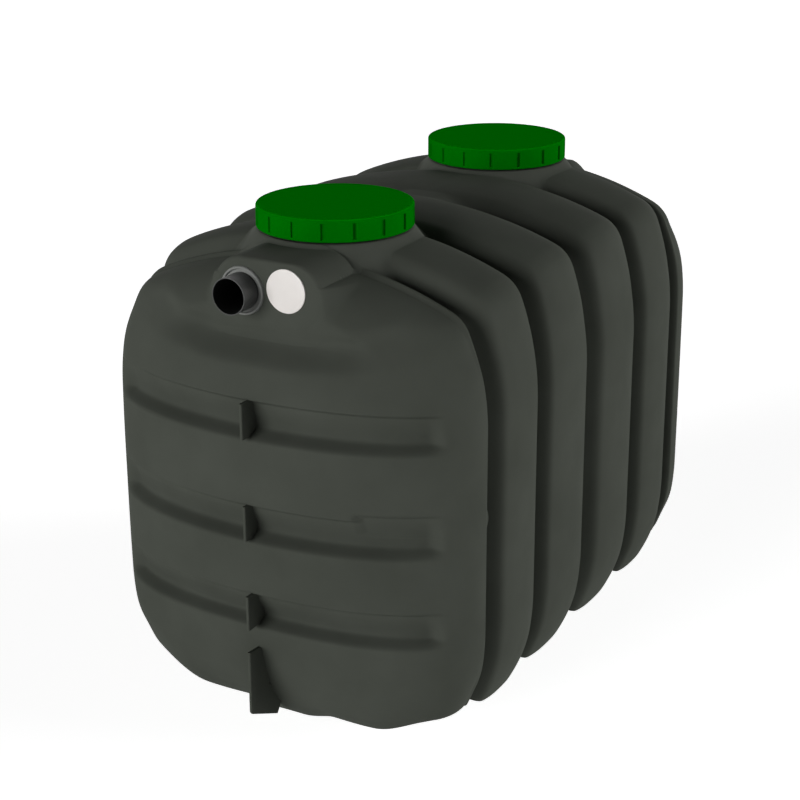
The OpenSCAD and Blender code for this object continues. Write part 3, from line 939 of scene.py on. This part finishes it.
@dataclass
class Dome:
    """A domed end: a superellipse bulge, the eased pad and three level grooves.

    Pairs of numbers are where a smooth step starts and how far it runs.
    """

    section: Section
    hoops: Hoops
    pad: Pad
    end_bulge: float
    plan_power: float = 2.1
    rise_power: float = 2.5
    fall_power: float = 2.25
    groove_z: tuple[float, ...] = (1.054, 0.740, 0.454)
    groove_h: float = 0.104
    groove_depth: float = 0.047
    lip_drop: float = 0.45
    lip_steps: tuple[float, ...] = (0.0, 0.020, 0.0)
    drop_at: tuple[float, float] = (-1.12, 0.30)
    lean_at: tuple[float, float] = (-0.95, 1.55)
    ledge_at: tuple[float, float] = (0.62, 0.62)
    step_x: tuple[float, float] = (0.330, 0.012)
    close_x: tuple[float, float] = (0.500, 0.075)
    arch_h: float = 0.150
    sag_h: float = 0.120
    fall_rise: float = 1.3
    fine_span: float = 0.072
    row_steps: tuple[float, float] = (4.2, 10.0)
    edge_steps: tuple[float, float] = (0.2, 0.944)
    corner_in: float = 0.040
    columns: int = 64

    @cached_property
    def levels(self) -> np.ndarray:
        """Heights of the rows at the side of the tank, from the top down.

        The spacing is 10 mm, 4.2 mm in the level grooves, and shrinks as the
        square root of the distance to the top and bottom rows.
        """
        z = np.linspace(self.low_z, self.top_z, FINE_POINTS)
        d = np.minimum(z - self.low_z, self.top_z - z) / MM
        near = np.min([np.abs(z - g) for g in self.groove_z], axis=0) < self.fine_span
        edge = self.edge_steps[0] + self.edge_steps[1] * np.sqrt(d)
        return spaced(z, np.minimum(np.where(near, *self.row_steps), edge) * MM)[::-1]

    @cached_property
    def top_x(self) -> float:
        """Half width of the top row."""
        return self.section.shoulder_c[0] + self.corner_in

    @cached_property
    def low_x(self) -> float:
        """Half width of the bottom row."""
        return self.section.corner_c[0] + self.corner_in

    @cached_property
    def top_z(self) -> float:
        """Height of the top row at its ends."""
        return float(self.section.roof_z(np.array(self.top_x)))

    @cached_property
    def low_z(self) -> float:
        """Height of the bottom row at its ends."""
        return float(self.section.under_z(np.array(self.low_x)))

    def outline_grid(self) -> tuple[np.ndarray, np.ndarray]:
        """Points inside the cross-section, in rows from the top down and columns from left to right.

        Columns stand at sin(j) shares of the half width. The top row follows
        the roof and the bottom row the belly, and the rows between flatten out.

        Returns:
            x and z, each of shape (rows, columns).
        """
        s = np.sin(np.linspace(-0.5, 0.5, 2 * self.columns + 1) * np.pi)
        z = self.levels
        arch = np.clip(1 - (self.top_z - z) / self.arch_h, 0, 1) ** 1.5
        sag = np.clip(1 - (z - self.low_z) / self.sag_h, 0, 1) ** 1.5
        rise = self.section.roof_z(s * self.top_x) - self.top_z
        fall = self.low_z - self.section.under_z(s * self.low_x)
        x = self.section.half_width(z)[:, None] * s
        return x, z[:, None] + arch[:, None] * rise - sag[:, None] * fall

    def groove(self, x: np.ndarray, z: np.ndarray) -> np.ndarray:
        """Depth of the level grooves at (x, z).

        With v from -1 at a groove's upper lip to 1 at its lower one, the wall
        drops quickly to a part of the depth, leans back to the full depth and
        comes out again over a ledge: min(drop + (1 - drop) * lean, ledge). Both
        ends of a groove are closed by a smooth step. The middle groove's upper
        lip steps up right of the pipe.

        Args:
            x: Distances from the middle.
            z: Heights.

        Returns:
            Depths.
        """
        depth = np.zeros_like(z)
        for centre, step in zip(self.groove_z, self.lip_steps):
            half = self.groove_h / 2
            v = (centre - z) / half + step / half * eased(x, *self.step_x) * (z > centre)
            drop = self.lip_drop * eased(v, *self.drop_at)
            lean = (1 - self.lip_drop) * eased(v, *self.lean_at)
            depth = np.maximum(depth, np.minimum(drop + lean, 1 - eased(v, *self.ledge_at)))
        return self.groove_depth * depth * (1 - eased(np.abs(x), *self.close_x))

    def out(self, x0: np.ndarray, z0: np.ndarray) -> np.ndarray:
        """How far the dome stands beyond the rim.

        bulge * (1 - |x / half width|^p)^(1/p) * (1 - |rise|^q)^(1/q), with q
        smaller below the middle and growing towards the sides there. It is eased
        down to the pad's seat round the pad, with a soft valley under it and a
        fillet up to its face at its ends, less the level grooves.

        Args:
            x0: Distances from the middle.
            z0: Heights on the plain section, before the end section's shift.

        Returns:
            Distances beyond the rim.
        """
        mid = self.section.height / 2
        kx = x0 / np.maximum(self.section.half_width(z0), 1e-4)
        rise = (z0 - mid) / mid
        fall = self.fall_power + self.fall_rise * kx * kx
        upright = np.where(rise < 0, bulge(rise, fall), bulge(rise, self.rise_power))
        raw = self.end_bulge * bulge(kx, self.plan_power) * upright
        z = z0 + self.hoops.end_shift(x0, z0)
        flat = -self.pad.face_y - self.pad.seat - self.hoops.rim_y
        near = 1 - smooth(self.pad.gap(x0, z) / self.pad.ease)
        eased = raw - near * np.maximum(0.0, raw - flat) - self.pad.hollow(x0, z)
        eased = eased + self.pad.skirt(x0, z) * np.maximum(0.0, flat - raw) * (raw > 0)
        return np.maximum(0.0, eased - self.groove(x0, z))

    def surface(self) -> np.ndarray:
        """The inlet end's surface: (x, -(rim + out), z + shift) over the outline grid."""
        x, z = self.outline_grid()
        out = self.out(x, z)
        out[0], out[-1], out[:, 0], out[:, -1] = 0.0, 0.0, 0.0, 0.0
        return np.stack([x, -self.hoops.rim_y - out, z + self.hoops.end_shift(x, z)], axis=-1)

    def rim(self) -> tuple[np.ndarray, np.ndarray]:
        """The plain section's outline in order: over the roof, down the right, under, up the left.

        Returns:
            x and z of each outline point.
        """
        x, z = (
            np.concatenate([g[0, :-1], g[:-1, -1], g[-1, :0:-1], g[:0:-1, 0]]) for g in self.outline_grid()
        )
        return x, z

    def roof(self, x: np.ndarray, y: np.ndarray) -> np.ndarray:
        """Height of the dome over (x, y), found by halving the span between middle and roof.

        Args:
            x: Distances from the middle.
            y: Positions beyond the rim.

        Returns:
            Heights.
        """
        low = np.full(x.shape, self.section.height / 2)
        high = self.section.roof_z(x)
        reach = np.abs(y) - self.hoops.rim_y
        for _ in range(30):
            mid = (low + high) / 2
            far = self.out(x, mid) > reach
            low, high = np.where(far, mid, low), np.where(far, high, mid)
        return low + self.hoops.end_shift(x, low)


# ------------------------------------------------------------------ the shell


@dataclass
class Shell:
    """The one-piece moulded shell: two domed ends, the hooped barrel and its inner face."""

    domes: dict[End, Dome]
    wall: float = 0.008
    hole_r: float = 0.204
    manhole_y: float = 0.5375
    roof_from: float = 1.30
    lining_step: int = 3
    sharp_over: float = 80.0

    @property
    def _outline(self) -> tuple[np.ndarray, np.ndarray]:
        """The outline that both ends share with the barrel."""
        return self.domes[End.INLET].rim()

    def barrel(self) -> Surface:
        """The barrel between the two rims, with both manholes cut."""
        sheet = Surface.sheet(self.domes[End.INLET].hoops.barrel(*self._outline), closed=True).flipped()
        return self._trim(sheet)

    def _trim(self, sheet: Surface) -> Surface:
        """Opens both manholes in the roof."""
        for side in (-1, 1):
            centre = (0.0, side * self.manhole_y)
            sheet = sheet.bored(centre, (0, 1), self.hole_r, above=self.roof_from)
        return sheet

    def end_shell(self, end: End) -> Surface:
        """One domed end in place, with the pipe's hole."""
        return self._ported(Surface.sheet(self.domes[end].surface()), end)

    def _ported(self, face: Surface, end: End) -> Surface:
        """A domed face with the pipe's hole cut, moved to its end."""
        pad = self.domes[end].pad
        return face.bored((pad.pipe_x, pad.axis_z), (0, 2), pad.sleeve_r).at(end)

    def _inner(self, grid: np.ndarray, closed: bool) -> np.ndarray:
        """A coarser grid set in by the wall: point - wall * unit normal.

        Args:
            grid: The outer grid.
            closed: Whether its columns run round.

        Returns:
            The inner grid.
        """
        along = np.gradient(grid, axis=0)
        across = (np.roll(grid, -1, 1) - np.roll(grid, 1, 1)) / 2 if closed else np.gradient(grid, axis=1)
        normal = np.cross(across, along) if closed else np.cross(along, across)
        normal /= np.maximum(np.linalg.norm(normal, axis=-1, keepdims=True), 1e-12)
        inner = grid - self.wall * normal
        rows = np.unique(np.append(np.arange(0, grid.shape[0], self.lining_step), grid.shape[0] - 1))
        cols = np.arange(0, grid.shape[1], self.lining_step)
        cols = cols if closed else np.unique(np.append(cols, grid.shape[1] - 1))
        return inner[rows][:, cols]

    def lining(self) -> Surface:
        """The shell's inner face, facing inwards."""
        outer = self.domes[End.INLET].hoops.barrel(*self._outline)
        parts = [self._trim(Surface.sheet(self._inner(outer, True), closed=True))]
        for end, dome in self.domes.items():
            parts.append(self._ported(Surface.sheet(self._inner(dome.surface(), False)).flipped(), end))
        return Surface.joined(*parts)

    def build(self) -> None:
        """Makes the four pieces of the shell."""
        panels = (
            "left_wall", "right_wall", "floor",
            "roof_left", "roof_right", "roof_front", "roof_middle", "roof_rear",
        )
        for name, surface, nodes in (
            ("inlet_end_shell", self.end_shell(End.INLET), ("front_end",)),
            ("outlet_end_shell", self.end_shell(End.OUTLET), ("rear_end",)),
            ("hooped_barrel", self.barrel(), panels),
            ("shell_lining", self.lining(), ()),
        ):
            put(name, surface, SHELL_FINISH, nodes, self.sharp_over)


# --------------------------------------------------------------- the manholes


@dataclass
class Manhole:
    """One manhole: its raised cone, threaded neck, screw lid and sealing ring."""

    dome: Dome
    end: End
    axis_y: float
    top_z: float
    lid_r: float
    lid_h: float
    clear_r: float = 0.200
    neck_wall: float = 0.008
    lid_wall: float = 0.007
    ring_t: float = 0.005
    lid_gap: float = 0.006
    slope: float = 54.0
    thread_proud: float = 0.009
    thread_pitch: float = 0.022
    slots: int = 16
    slot_w: float = 0.012
    slot_depth: float = 0.0050
    thread_from: float = 0.052
    ridge: tuple[float, float] = (0.14, 0.13)
    cone_to: float = 0.232
    cone_inset: float = 0.002
    cone_rounds: tuple[float, float] = (0.008, 0.022)
    tuck: float = 0.0012
    neck_root: float = 0.060
    lip_round: float = 0.0019

    def _place(self, grid: np.ndarray) -> np.ndarray:
        """Moves a grid made round the Z axis onto the inlet manhole's axis."""
        return grid + np.array([0.0, -self.axis_y, 0.0])

    def cone(self) -> Surface:
        """The raised skirt between neck and roof.

        Over (r, a) its height is the rounded maximum of the cone, flat under the
        lid and then falling at its slope, and the tank's own roof, dome and pad
        less the tuck, so it runs out just under the shell.

        Returns:
            The skirt.
        """
        a = np.linspace(0, 2 * np.pi, 240, endpoint=False)[None, :]
        spans = ((0.2045, 0.230, 4), (0.2325, 0.245, 8), (0.2475, 0.352, 38))
        r = np.concatenate([np.linspace(*span) for span in spans])[:, None]
        x, y = r * np.cos(a), r * np.sin(a) - self.axis_y
        flat = self.top_z - self.lid_h - self.lid_gap
        fall = flat - (r - self.lid_r + self.cone_inset) * math.tan(math.radians(self.slope))
        cone = -smooth_max(np.full_like(x, -flat), -fall + 0.0 * x, self.cone_rounds[0])
        barrel = self.dome.hoops.roof(x, y)
        dome = self.dome.roof(x, y)
        body = np.where(y < -self.dome.hoops.rim_y, dome, barrel)
        body = np.maximum(body, self.dome.pad.top(x, y)) - self.tuck
        z = np.where(r < self.cone_to, cone, smooth_max(cone, body, self.cone_rounds[1]))
        return Surface.sheet(np.stack([x, y, z], axis=-1), closed=True)

    def neck(self) -> Surface:
        """The threaded neck.

        The outer radius is neck + proud * ridge((z - z0) / pitch - a / 2 pi), a
        helix of two turns that starts and ends square at angle 0.

        Returns:
            The neck as a closed ring.
        """
        a = np.linspace(0, 2 * np.pi, 192, endpoint=False)[None, :]
        top = self.top_z - self.lid_wall - self.ring_t
        low = self.dome.section.height - self.neck_root
        z = np.concatenate([[low], np.linspace(top - 0.058, top - 0.002, 40)])[:, None]
        turn = (z - (top - self.thread_from)) / self.thread_pitch - a / (2 * np.pi)
        ridge = 1 - eased(np.abs(turn - np.round(turn)), *self.ridge)
        run = eased(turn, -0.5, 0.15) * (1 - eased(turn, 1.35, 0.15))
        inside, outside = self.clear_r, self.clear_r + self.neck_wall
        outer_r = outside + self.thread_proud * ridge * run
        outer = np.stack([outer_r * np.cos(a), outer_r * np.sin(a), z + 0 * a], axis=-1)
        lip = rounded([
            (outside, top - 0.002, 0), (outside, top, self.lip_round),
            (inside, top, self.lip_round), (inside, top - 0.006, 0), (inside, low, 0),
        ], 3)[1:]
        return Surface.hoop(self._place(np.concatenate([outer, turned(lip, a)])))

    def lid(self) -> Surface:
        """The screw lid.

        The profile is turned about the axis on uneven angles, close together at
        the edges of each grip slot, and the skirt's radius is less by the slot's
        depth inside a slot: r - depth * inside(angle) * inside(height).

        Returns:
            The lid as a closed solid.
        """
        period = 2 * np.pi / self.slots
        edge = self.slot_w / 2 / self.lid_r
        soft = 0.0008 / self.lid_r
        part = np.concatenate([
            [-edge - soft, -edge + soft, 0.0, edge - soft, edge + soft],
            np.linspace(edge + 4 * soft, period - edge - 4 * soft, 9),
        ])
        a = (np.arange(self.slots)[:, None] * period + part[None, :]).ravel()
        top, low, r, w = self.top_z, self.top_z - self.lid_h, self.lid_r, self.lid_wall
        profile = rounded([
            (0.002, top, 0), (0.080, top, 0), (0.160, top, 0), (r - 0.020, top, 0), (r, top, 0.007),
            (r, top - 0.011, 0), (r, top - 0.0125, 0), (r, low + 0.0075, 0), (r, low + 0.006, 0),
            (r, low, 0.002), (r - w, low, 0.002), (r - w, top - w, 0.004), (0.100, top - w, 0),
            (0.002, top - w, 0),
        ], 4)
        grid = turned(profile, a)
        z = profile[:, 1]
        rise = (z <= top - 0.0124) & (z >= low + 0.0074) & (profile[:, 0] >= r - 1e-6)
        wrap = np.abs((a + period / 2) % period - period / 2)
        cut = np.where(rise[:, None] & (wrap[None, :] < edge), self.slot_depth, 0.0)
        shrink = (profile[:, :1] - cut) / np.maximum(profile[:, :1], 1e-9)
        grid[..., :2] *= shrink[..., None]
        return Surface.tube(self._place(grid))

    def ring(self) -> Surface:
        """The sealing ring on the neck's rim, a rounded rectangle turned about the axis."""
        a = np.linspace(0, 2 * np.pi, 144, endpoint=False)
        low = self.top_z - self.lid_wall - self.ring_t
        r0, r1, high, edge = self.clear_r, self.clear_r + self.neck_wall, low + self.ring_t, 0.0012
        corners = [(r0, low, edge), (r1, low, edge), (r1, high, edge), (r0, high, edge)]
        outline = rounded(corners, 3, loop=True)
        return Surface.hoop(self._place(turned(outline, a)))

    def build(self) -> None:
        """Makes the four pieces of the manhole."""
        word = self.end.fitting
        cover = Body.INLET_COVER if self.end is End.INLET else Body.OUTLET_COVER
        for piece, surface, finish, node, sharp_over, body in (
            ("neck_cone", self.cone(), NECK_FINISH, "cone", 80.0, Body.TANK),
            ("threaded_neck", self.neck(), NECK_FINISH, "neck", 50.0, Body.TANK),
            ("screw_lid", self.lid(), LID_FINISH, "lid", 30.0, cover),
            ("sealing_ring", self.ring(), RING_FINISH, "gasket", 50.0, cover),
        ):
            put(f"{word}_{piece}", surface.at(self.end), finish, (f"{word}_{node}",), sharp_over, body)


# ------------------------------------------------------------------- the pads


@dataclass
class PipePad:
    """One pipe pad with its stub, rubber seal and the disc over the spare socket."""

    pad: Pad
    rim_y: float
    end: End
    pipe_out: float = 0.074
    pipe_wall: float = 0.0032
    seal_r: float = 0.072
    seal_lip: float = 0.009
    disc_x: float = 0.078
    disc_dz: float = 0.017
    disc_r: float = 0.064
    disc_t: float = 0.004
    round_edge: float = 0.014
    turned_down: float = 0.0019
    shade_skin_t: float = 0.0006

    def _along(self, profile: np.ndarray, x: float, z: float) -> np.ndarray:
        """Turns a profile of (r, y) about an axis along Y through (x, z).

        Args:
            profile: Rows of (r, y), y from the pad's face, positive outwards.
            x: Axis x.
            z: Axis z.

        Returns:
            A grid of points.
        """
        a = np.linspace(0, 2 * np.pi, 96, endpoint=False)
        r, out = profile[:, :1], profile[:, 1:2]
        return np.stack([x + r * np.cos(a), self.pad.face_y - out + 0 * a, z + r * np.sin(a)], axis=-1)

    def boss(self) -> Surface:
        """The pad's skin round the pipe's axis, from the hole over the face and its edge to the rim."""
        a = np.linspace(0, 2 * np.pi, 256, endpoint=False)[None, :]
        reach = self.pad.reach(a)
        e, deep = self.round_edge, -self.pad.face_y - self.rim_y
        turn = np.linspace(0, np.pi / 2, 7)[:, None]
        inner = np.full_like(a, self.pad.sleeve_r)
        face = inner + np.linspace(0, 1, 8)[:, None] * (reach - e - inner)
        bend = reach - e + e * np.sin(turn)
        r = np.concatenate([face, bend[1:], np.repeat(reach, 6, axis=0)])
        side = np.linspace(e, deep, 7)[1:, None]
        depth = np.concatenate([np.zeros((8, 1)), (e - e * np.cos(turn))[1:], side])
        x = self.pad.pipe_x + r * np.cos(a)
        z = self.pad.axis_z + r * np.sin(a)
        grid = np.stack([x, self.pad.face_y + depth + 0 * a, z], axis=-1)
        hole = grid[:1] + np.array([0.0, self.pad.seat, 0.0])
        return Surface.sheet(np.concatenate([hole, grid]), closed=True).flipped()

    def _sleeve(self, corners: list[tuple[float, float, float]]) -> Surface:
        """A ring round the pipe's axis from the rounded outline of its wall."""
        outline = rounded(corners, 3, loop=True)
        return Surface.hoop(self._along(outline, self.pad.pipe_x, self.pad.axis_z))

    def stub(self) -> Surface:
        """The pipe stub: a tube with a turned end, stepped down inside its seal."""
        r, out, lip = self.pad.pipe_r, self.pipe_out, self.seal_lip
        inside, down = r - self.pipe_wall, r - self.turned_down
        return self._sleeve([
            (inside, out, 0.0008), (r, out, 0.0012), (r, lip, 0),
            (down, lip, 0), (down, -0.090, 0), (inside, -0.090, 0),
        ])

    def bore(self) -> Surface:
        """Painted shade: a thin near-black tube on the stub's inner wall, for the shade inside the pipe."""
        wall, out = self.pad.pipe_r - self.pipe_wall, self.pipe_out
        inside, outside = wall - self.shade_skin_t, wall + 0.0002
        return self._sleeve([
            (inside, out - 0.0030, 0.0003), (outside, out - 0.0012, 0),
            (outside, -0.089, 0), (inside, -0.089, 0),
        ])

    def seal(self) -> Surface:
        """The rubber seal: a round bead, a sunk ring round the pipe and a sleeve through the pad."""
        r, s, lip, edge = self.pad.pipe_r + 0.0001, self.pad.sleeve_r - 0.0003, self.seal_lip, self.seal_r
        return self._sleeve([
            (r, 0.003, 0), (edge - 0.0085, 0.0022, 0.001), (edge - 0.0075, lip, 0.0025),
            (edge - 0.0015, lip, 0.0025), (edge, 0.003, 0.002), (edge, 0.0, 0), (s, 0.0, 0),
            (s, -0.030, 0), (r - 0.0018, -0.030, 0), (r - 0.0018, 0.001, 0),
        ])

    def disc(self) -> Surface:
        """The disc over the spare socket: a plate with a rounded rim."""
        r, t = self.disc_r, self.disc_t
        profile = rounded([(0.001, 0.0, 0), (r, 0.0, 0), (r, t, 0.0015), (r * 0.5, t, 0), (0.001, t, 0)], 4)
        return Surface.tube(self._along(profile, self.disc_x, self.pad.axis_z + self.disc_dz))

    def build(self) -> None:
        """Makes the five pieces of the pad."""
        word = self.end.fitting
        for piece, surface, finish, node, sharp_over in (
            ("pipe_pad", self.boss(), SHELL_FINISH, "pad", 60.0),
            ("pipe_stub", self.stub(), PIPE_FINISH, "pipe", 35.0),
            # Painted shade: the bore piece darkens the inside of the pipe.
            ("pipe_bore_shade", self.bore(), BORE_SHADE_FINISH, "", 50.0),
            ("pipe_seal", self.seal(), SEAL_FINISH, "seal", 50.0),
            ("blanking_disc", self.disc(), DISC_FINISH, "disc", 35.0),
        ):
            nodes = (f"{word}_{node}",) if node else ()
            put(f"{word}_{piece}", surface.at(self.end), finish, nodes, sharp_over)


# ------------------------------------------------------------- ribs and lugs


@dataclass
class EndRibs:
    """The three webs over the level grooves and the keel of one end."""

    dome: Dome
    end: End
    front_y: float
    thickness: float = 0.010
    keel_top: float = 0.327
    keel_tip: float = 0.123
    keel_low: float = 0.058
    keel_back: float = 0.180
    keel_depth: float = 0.110
    web_depth: float = 0.100
    sharp_over: float = 50.0

    def _plate(self, edge: np.ndarray, inward: np.ndarray, depth: float) -> Surface:
        """A plate with a rounded free edge, carried along a path.

        Its cross-section is a flat strip of the plate's thickness with a nose of
        half a superellipse, laid at each point of the path towards the body.

        Args:
            edge: Points (y, z) of the free edge.
            inward: Unit directions (y, z) from the edge into the body.
            depth: How far the plate reaches into the body.

        Returns:
            The closed plate.
        """
        t = self.thickness / 2
        a = np.linspace(-np.pi / 2, np.pi / 2, 9)
        nose_x = t * np.sign(np.sin(a)) * np.abs(np.sin(a)) ** 0.7
        nose_d = t * (1 - np.abs(np.cos(a)) ** 0.7)
        x = np.concatenate([[-t], nose_x, [t]])
        d = np.concatenate([[depth], nose_d, [depth]])
        y = edge[:, :1] + inward[:, :1] * d
        z = edge[:, 1:] + inward[:, 1:] * d
        return Surface.tube(np.stack([x + 0 * y, y, z], axis=-1))

    def webs(self) -> Surface:
        """The upright webs, one over each level groove."""
        parts = []
        for centre in self.dome.groove_z:
            half = self.dome.groove_h / 2 + 0.002
            z = np.linspace(centre - half, centre + half, 13)
            edge = np.stack([np.full_like(z, self.front_y), z], axis=-1)
            parts.append(self._plate(edge, np.tile([1.0, 0.0], (13, 1)), self.web_depth))
        return Surface.joined(*parts)

    def keel(self) -> Surface:
        """The keel fin: down the front, round its tip and back along the underside."""
        f = self.front_y
        back = -self.dome.hoops.rim_y - self.keel_back
        path = rounded([(f, self.keel_top, 0), (f, self.keel_tip, 0.010), (back, self.keel_low, 0)], 6)
        front = path[:1] + (path[1] - path[0]) * np.linspace(0.1, 0.9, 8)[:, None]
        path = np.concatenate([path[:1], front, path[1:]])
        inward = np.array([-self.dome.hoops.rim_y - 0.02, 0.300]) - path
        reach = np.linalg.norm(inward, axis=1, keepdims=True)
        return self._plate(path, inward / reach, self.keel_depth)

    def build(self) -> None:
        """Makes the webs and the keel."""
        word = self.end.side
        for piece, surface, node in (("groove_webs", self.webs(), "webs"), ("keel", self.keel(), "foot")):
            put(f"{word}_{piece}", surface.at(self.end), SHELL_FINISH, (f"{word}_{node}",), self.sharp_over)


@dataclass
class SideLugs:
    """The half-round lugs in three of the grooves, on the inlet side of each."""

    hoops: Hoops
    radius: float = 0.047
    height: float = 0.750
    shares: tuple[float, ...] = (1.0, 0.4, 0.8)
    inset: float = 0.010

    def lugs(self) -> Surface:
        """The right-hand lugs: a rounded button turned about an axis along X at each groove's lip.

        Returns:
            The three lugs.
        """
        a = np.linspace(0, 2 * np.pi, 64, endpoint=False)
        face = self.hoops.section.half_w - self.inset
        root = self.hoops.section.half_w - self.hoops.depth - 0.004
        parts = []
        for centre, half, share in zip(self.hoops.centres, self.hoops.halves, self.shares):
            r = self.radius * share
            soft = min(0.010, r * 0.45)
            corners = [(0.001, root, 0), (r, root, 0), (r, face, soft), (r * 0.3, face, 0), (0.001, face, 0)]
            profile = rounded(corners, 6)
            x = profile[:, 1:] + 0 * a
            y = centre - half * 0.92 + profile[:, :1] * np.cos(a)
            z = self.height + profile[:, :1] * np.sin(a)
            parts.append(Surface.tube(np.stack([x, y, z], axis=-1)))
        return Surface.joined(*parts)

    def build(self) -> None:
        """Makes the lugs of both sides."""
        lugs = self.lugs()
        for side, surface in (("right", lugs), ("left", lugs.mirrored())):
            put(f"{side}_groove_lugs", surface, SHELL_FINISH, (f"{side}_lugs",), 50.0)


# -------------------------------------------------------------------- studio


@dataclass
class Studio:
    """Pale floor, two low soft suns, white surroundings and the camera.

    The floor glows with floor_seen where the camera sees it, so that it stays
    white, and with floor_bounce as light on the tank. The sky gives the tank
    light between horizon and zenith.
    """

    floor_colour: str = "#f4f4f4"
    location: tuple[float, float, float] = (2.7601, -5.0640, 2.8592)
    azimuth: float = 29.32
    elevation: float = 19.79
    roll: float = -0.24
    lens: float = 82.354
    lamp_strength: float = 3.3
    floor_seen: float = 0.80
    floor_bounce: float = 0.32
    horizon: float = 0.09
    zenith: float = 0.0
    half_size: float = 40.0
    sensor: float = 36.0
    lamps: tuple[tuple[str, tuple[float, float, float]], ...] = (
        ("front_left", (-0.36, -1.0, 0.13)),
        ("right", (1.0, 0.55, 0.12)),
    )
    lamp_spread: float = 40.0

    def floor(self) -> None:
        """A wide plain floor that stays white in the view, lights the tank and keeps its shadow."""
        mesh = bpy.data.meshes.new("studio_floor")
        s = self.half_size
        mesh.from_pydata([(-s, -s, 0), (s, -s, 0), (s, s, 0), (-s, s, 0)], [], [(0, 1, 2, 3)])
        made = blank_material("studio floor")
        tree = made.node_tree
        rays = add_node(tree, "ShaderNodeLightPath")
        diffuse = add_node(tree, "ShaderNodeBsdfDiffuse", {"Color": linear(self.floor_colour)})
        glow = add_node(
            tree, "ShaderNodeMath",
            {0: rays.outputs["Is Camera Ray"], 1: self.floor_seen - self.floor_bounce, 2: self.floor_bounce},
            operation="MULTIPLY_ADD",
        )
        lit = add_node(tree, "ShaderNodeEmission", {"Color": (1, 1, 1, 1), "Strength": glow.outputs[0]})
        both = add_node(tree, "ShaderNodeAddShader", {0: diffuse.outputs[0], 1: lit.outputs[0]})
        add_node(tree, "ShaderNodeOutputMaterial", {"Surface": both.outputs[0]})
        mesh.materials.append(made)
        placed("studio_floor", mesh)

    def world(self) -> None:
        """Soft surroundings, brighter at the horizon than overhead, and white where they are seen."""
        world = bpy.data.worlds.new("studio")
        bpy.context.scene.world = world
        world.use_nodes = True
        tree = world.node_tree
        tree.nodes.clear()
        view = add_node(tree, "ShaderNodeTexCoord").outputs["Generated"]
        up = add_node(tree, "ShaderNodeSeparateXYZ", {"Vector": view}).outputs["Z"]
        sky = mapped(tree, up, (0.05, 0.9), (self.horizon, self.zenith), interpolation_type="SMOOTHSTEP")
        soft = add_node(tree, "ShaderNodeBackground", {"Color": linear("#fbfcff"), "Strength": sky})
        white = add_node(tree, "ShaderNodeBackground", {"Color": (1, 1, 1, 1), "Strength": 1.0})
        rays = add_node(tree, "ShaderNodeLightPath")
        shown = rays.outputs["Is Camera Ray"]
        for kind in ("Is Transmission Ray", "Is Glossy Ray"):
            inputs = {0: shown, 1: rays.outputs[kind]}
            shown = add_node(tree, "ShaderNodeMath", inputs, operation="MAXIMUM").outputs[0]
        both = add_node(tree, "ShaderNodeMixShader", {0: shown, 1: soft.outputs[0], 2: white.outputs[0]})
        add_node(tree, "ShaderNodeOutputWorld", {"Surface": both.outputs[0]})

    def lamp(self, name: str, way: tuple[float, float, float]) -> None:
        """Adds a distant lamp, whose wide angle softens the shadows.

        Args:
            name: Its name.
            way: Direction from the tank towards the lamp.
        """
        data = bpy.data.lights.new(name, "SUN")
        data.energy = self.lamp_strength
        data.angle = math.radians(self.lamp_spread)
        piece = placed(name, data)
        piece.rotation_mode = "QUATERNION"
        piece.rotation_quaternion = Vector(way).to_track_quat("Z", "Y")

    def camera(self) -> None:
        """The camera, from its azimuth, elevation and roll about the line of sight."""
        a, e, r = (math.radians(v) for v in (self.azimuth, self.elevation, self.roll))
        back = Vector((math.sin(a) * math.cos(e), -math.cos(a) * math.cos(e), math.sin(e)))
        right = Vector((math.cos(a), math.sin(a), 0.0))
        up = back.cross(right)
        right, up = right * math.cos(r) + up * math.sin(r), up * math.cos(r) - right * math.sin(r)
        data = bpy.data.cameras.new("camera")
        data.lens, data.sensor_width = self.lens, self.sensor
        data.clip_start, data.clip_end = 0.1, 200.0
        piece = placed("camera", data)
        facing = Matrix((right, up, back)).transposed().to_4x4()
        piece.matrix_world = Matrix.Translation(self.location) @ facing
        bpy.context.scene.camera = piece

    def build(self) -> None:
        """Sets the stage, the light and the camera."""
        self.floor()
        self.world()
        for name, way in self.lamps:
            self.lamp(name, way)
        self.camera()
        bpy.context.scene.view_settings.view_transform = "Standard"


# ----------------------------------------------------------------------- main


def main() -> None:
    """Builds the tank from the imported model's boxes, piece by piece."""
    logging.basicConfig(level=logging.INFO, format="%(name)s: %(message)s")
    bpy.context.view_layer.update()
    wall_low, wall_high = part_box("right_wall")
    crown_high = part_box("roof_front")[1]
    end_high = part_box("front_end")[1]
    lid_low, lid_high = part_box("inlet_lid")
    pad_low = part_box("inlet_pad")[0]
    web_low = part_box("front_webs")[0]

    swell = wall_high.x - end_high.x
    section = Section(half_w=end_high.x, height=crown_high.z - CROWN_SWELL * swell)
    hoops = Hoops(section, rim_y=wall_high.y, swell=swell)
    pads = {end: Pad(face_y=pad_low.y, axis_z=PIPE_Z[end], rim_y=hoops.rim_y) for end in End}
    domes = {end: Dome(section, hoops, pad, END_BULGE) for end, pad in pads.items()}
    Shell(domes).build()
    for end in End:
        Manhole(
            domes[end], end, axis_y=-(lid_low.y + lid_high.y) / 2, top_z=lid_high.z,
            lid_r=(lid_high.x - lid_low.x) / 2, lid_h=lid_high.z - lid_low.z,
        ).build()
        PipePad(pads[end], hoops.rim_y, end).build()
        EndRibs(domes[end], end, front_y=web_low.y).build()
    SideLugs(hoops).build()
    Studio().build()


if __name__ == "__main__":
    main()
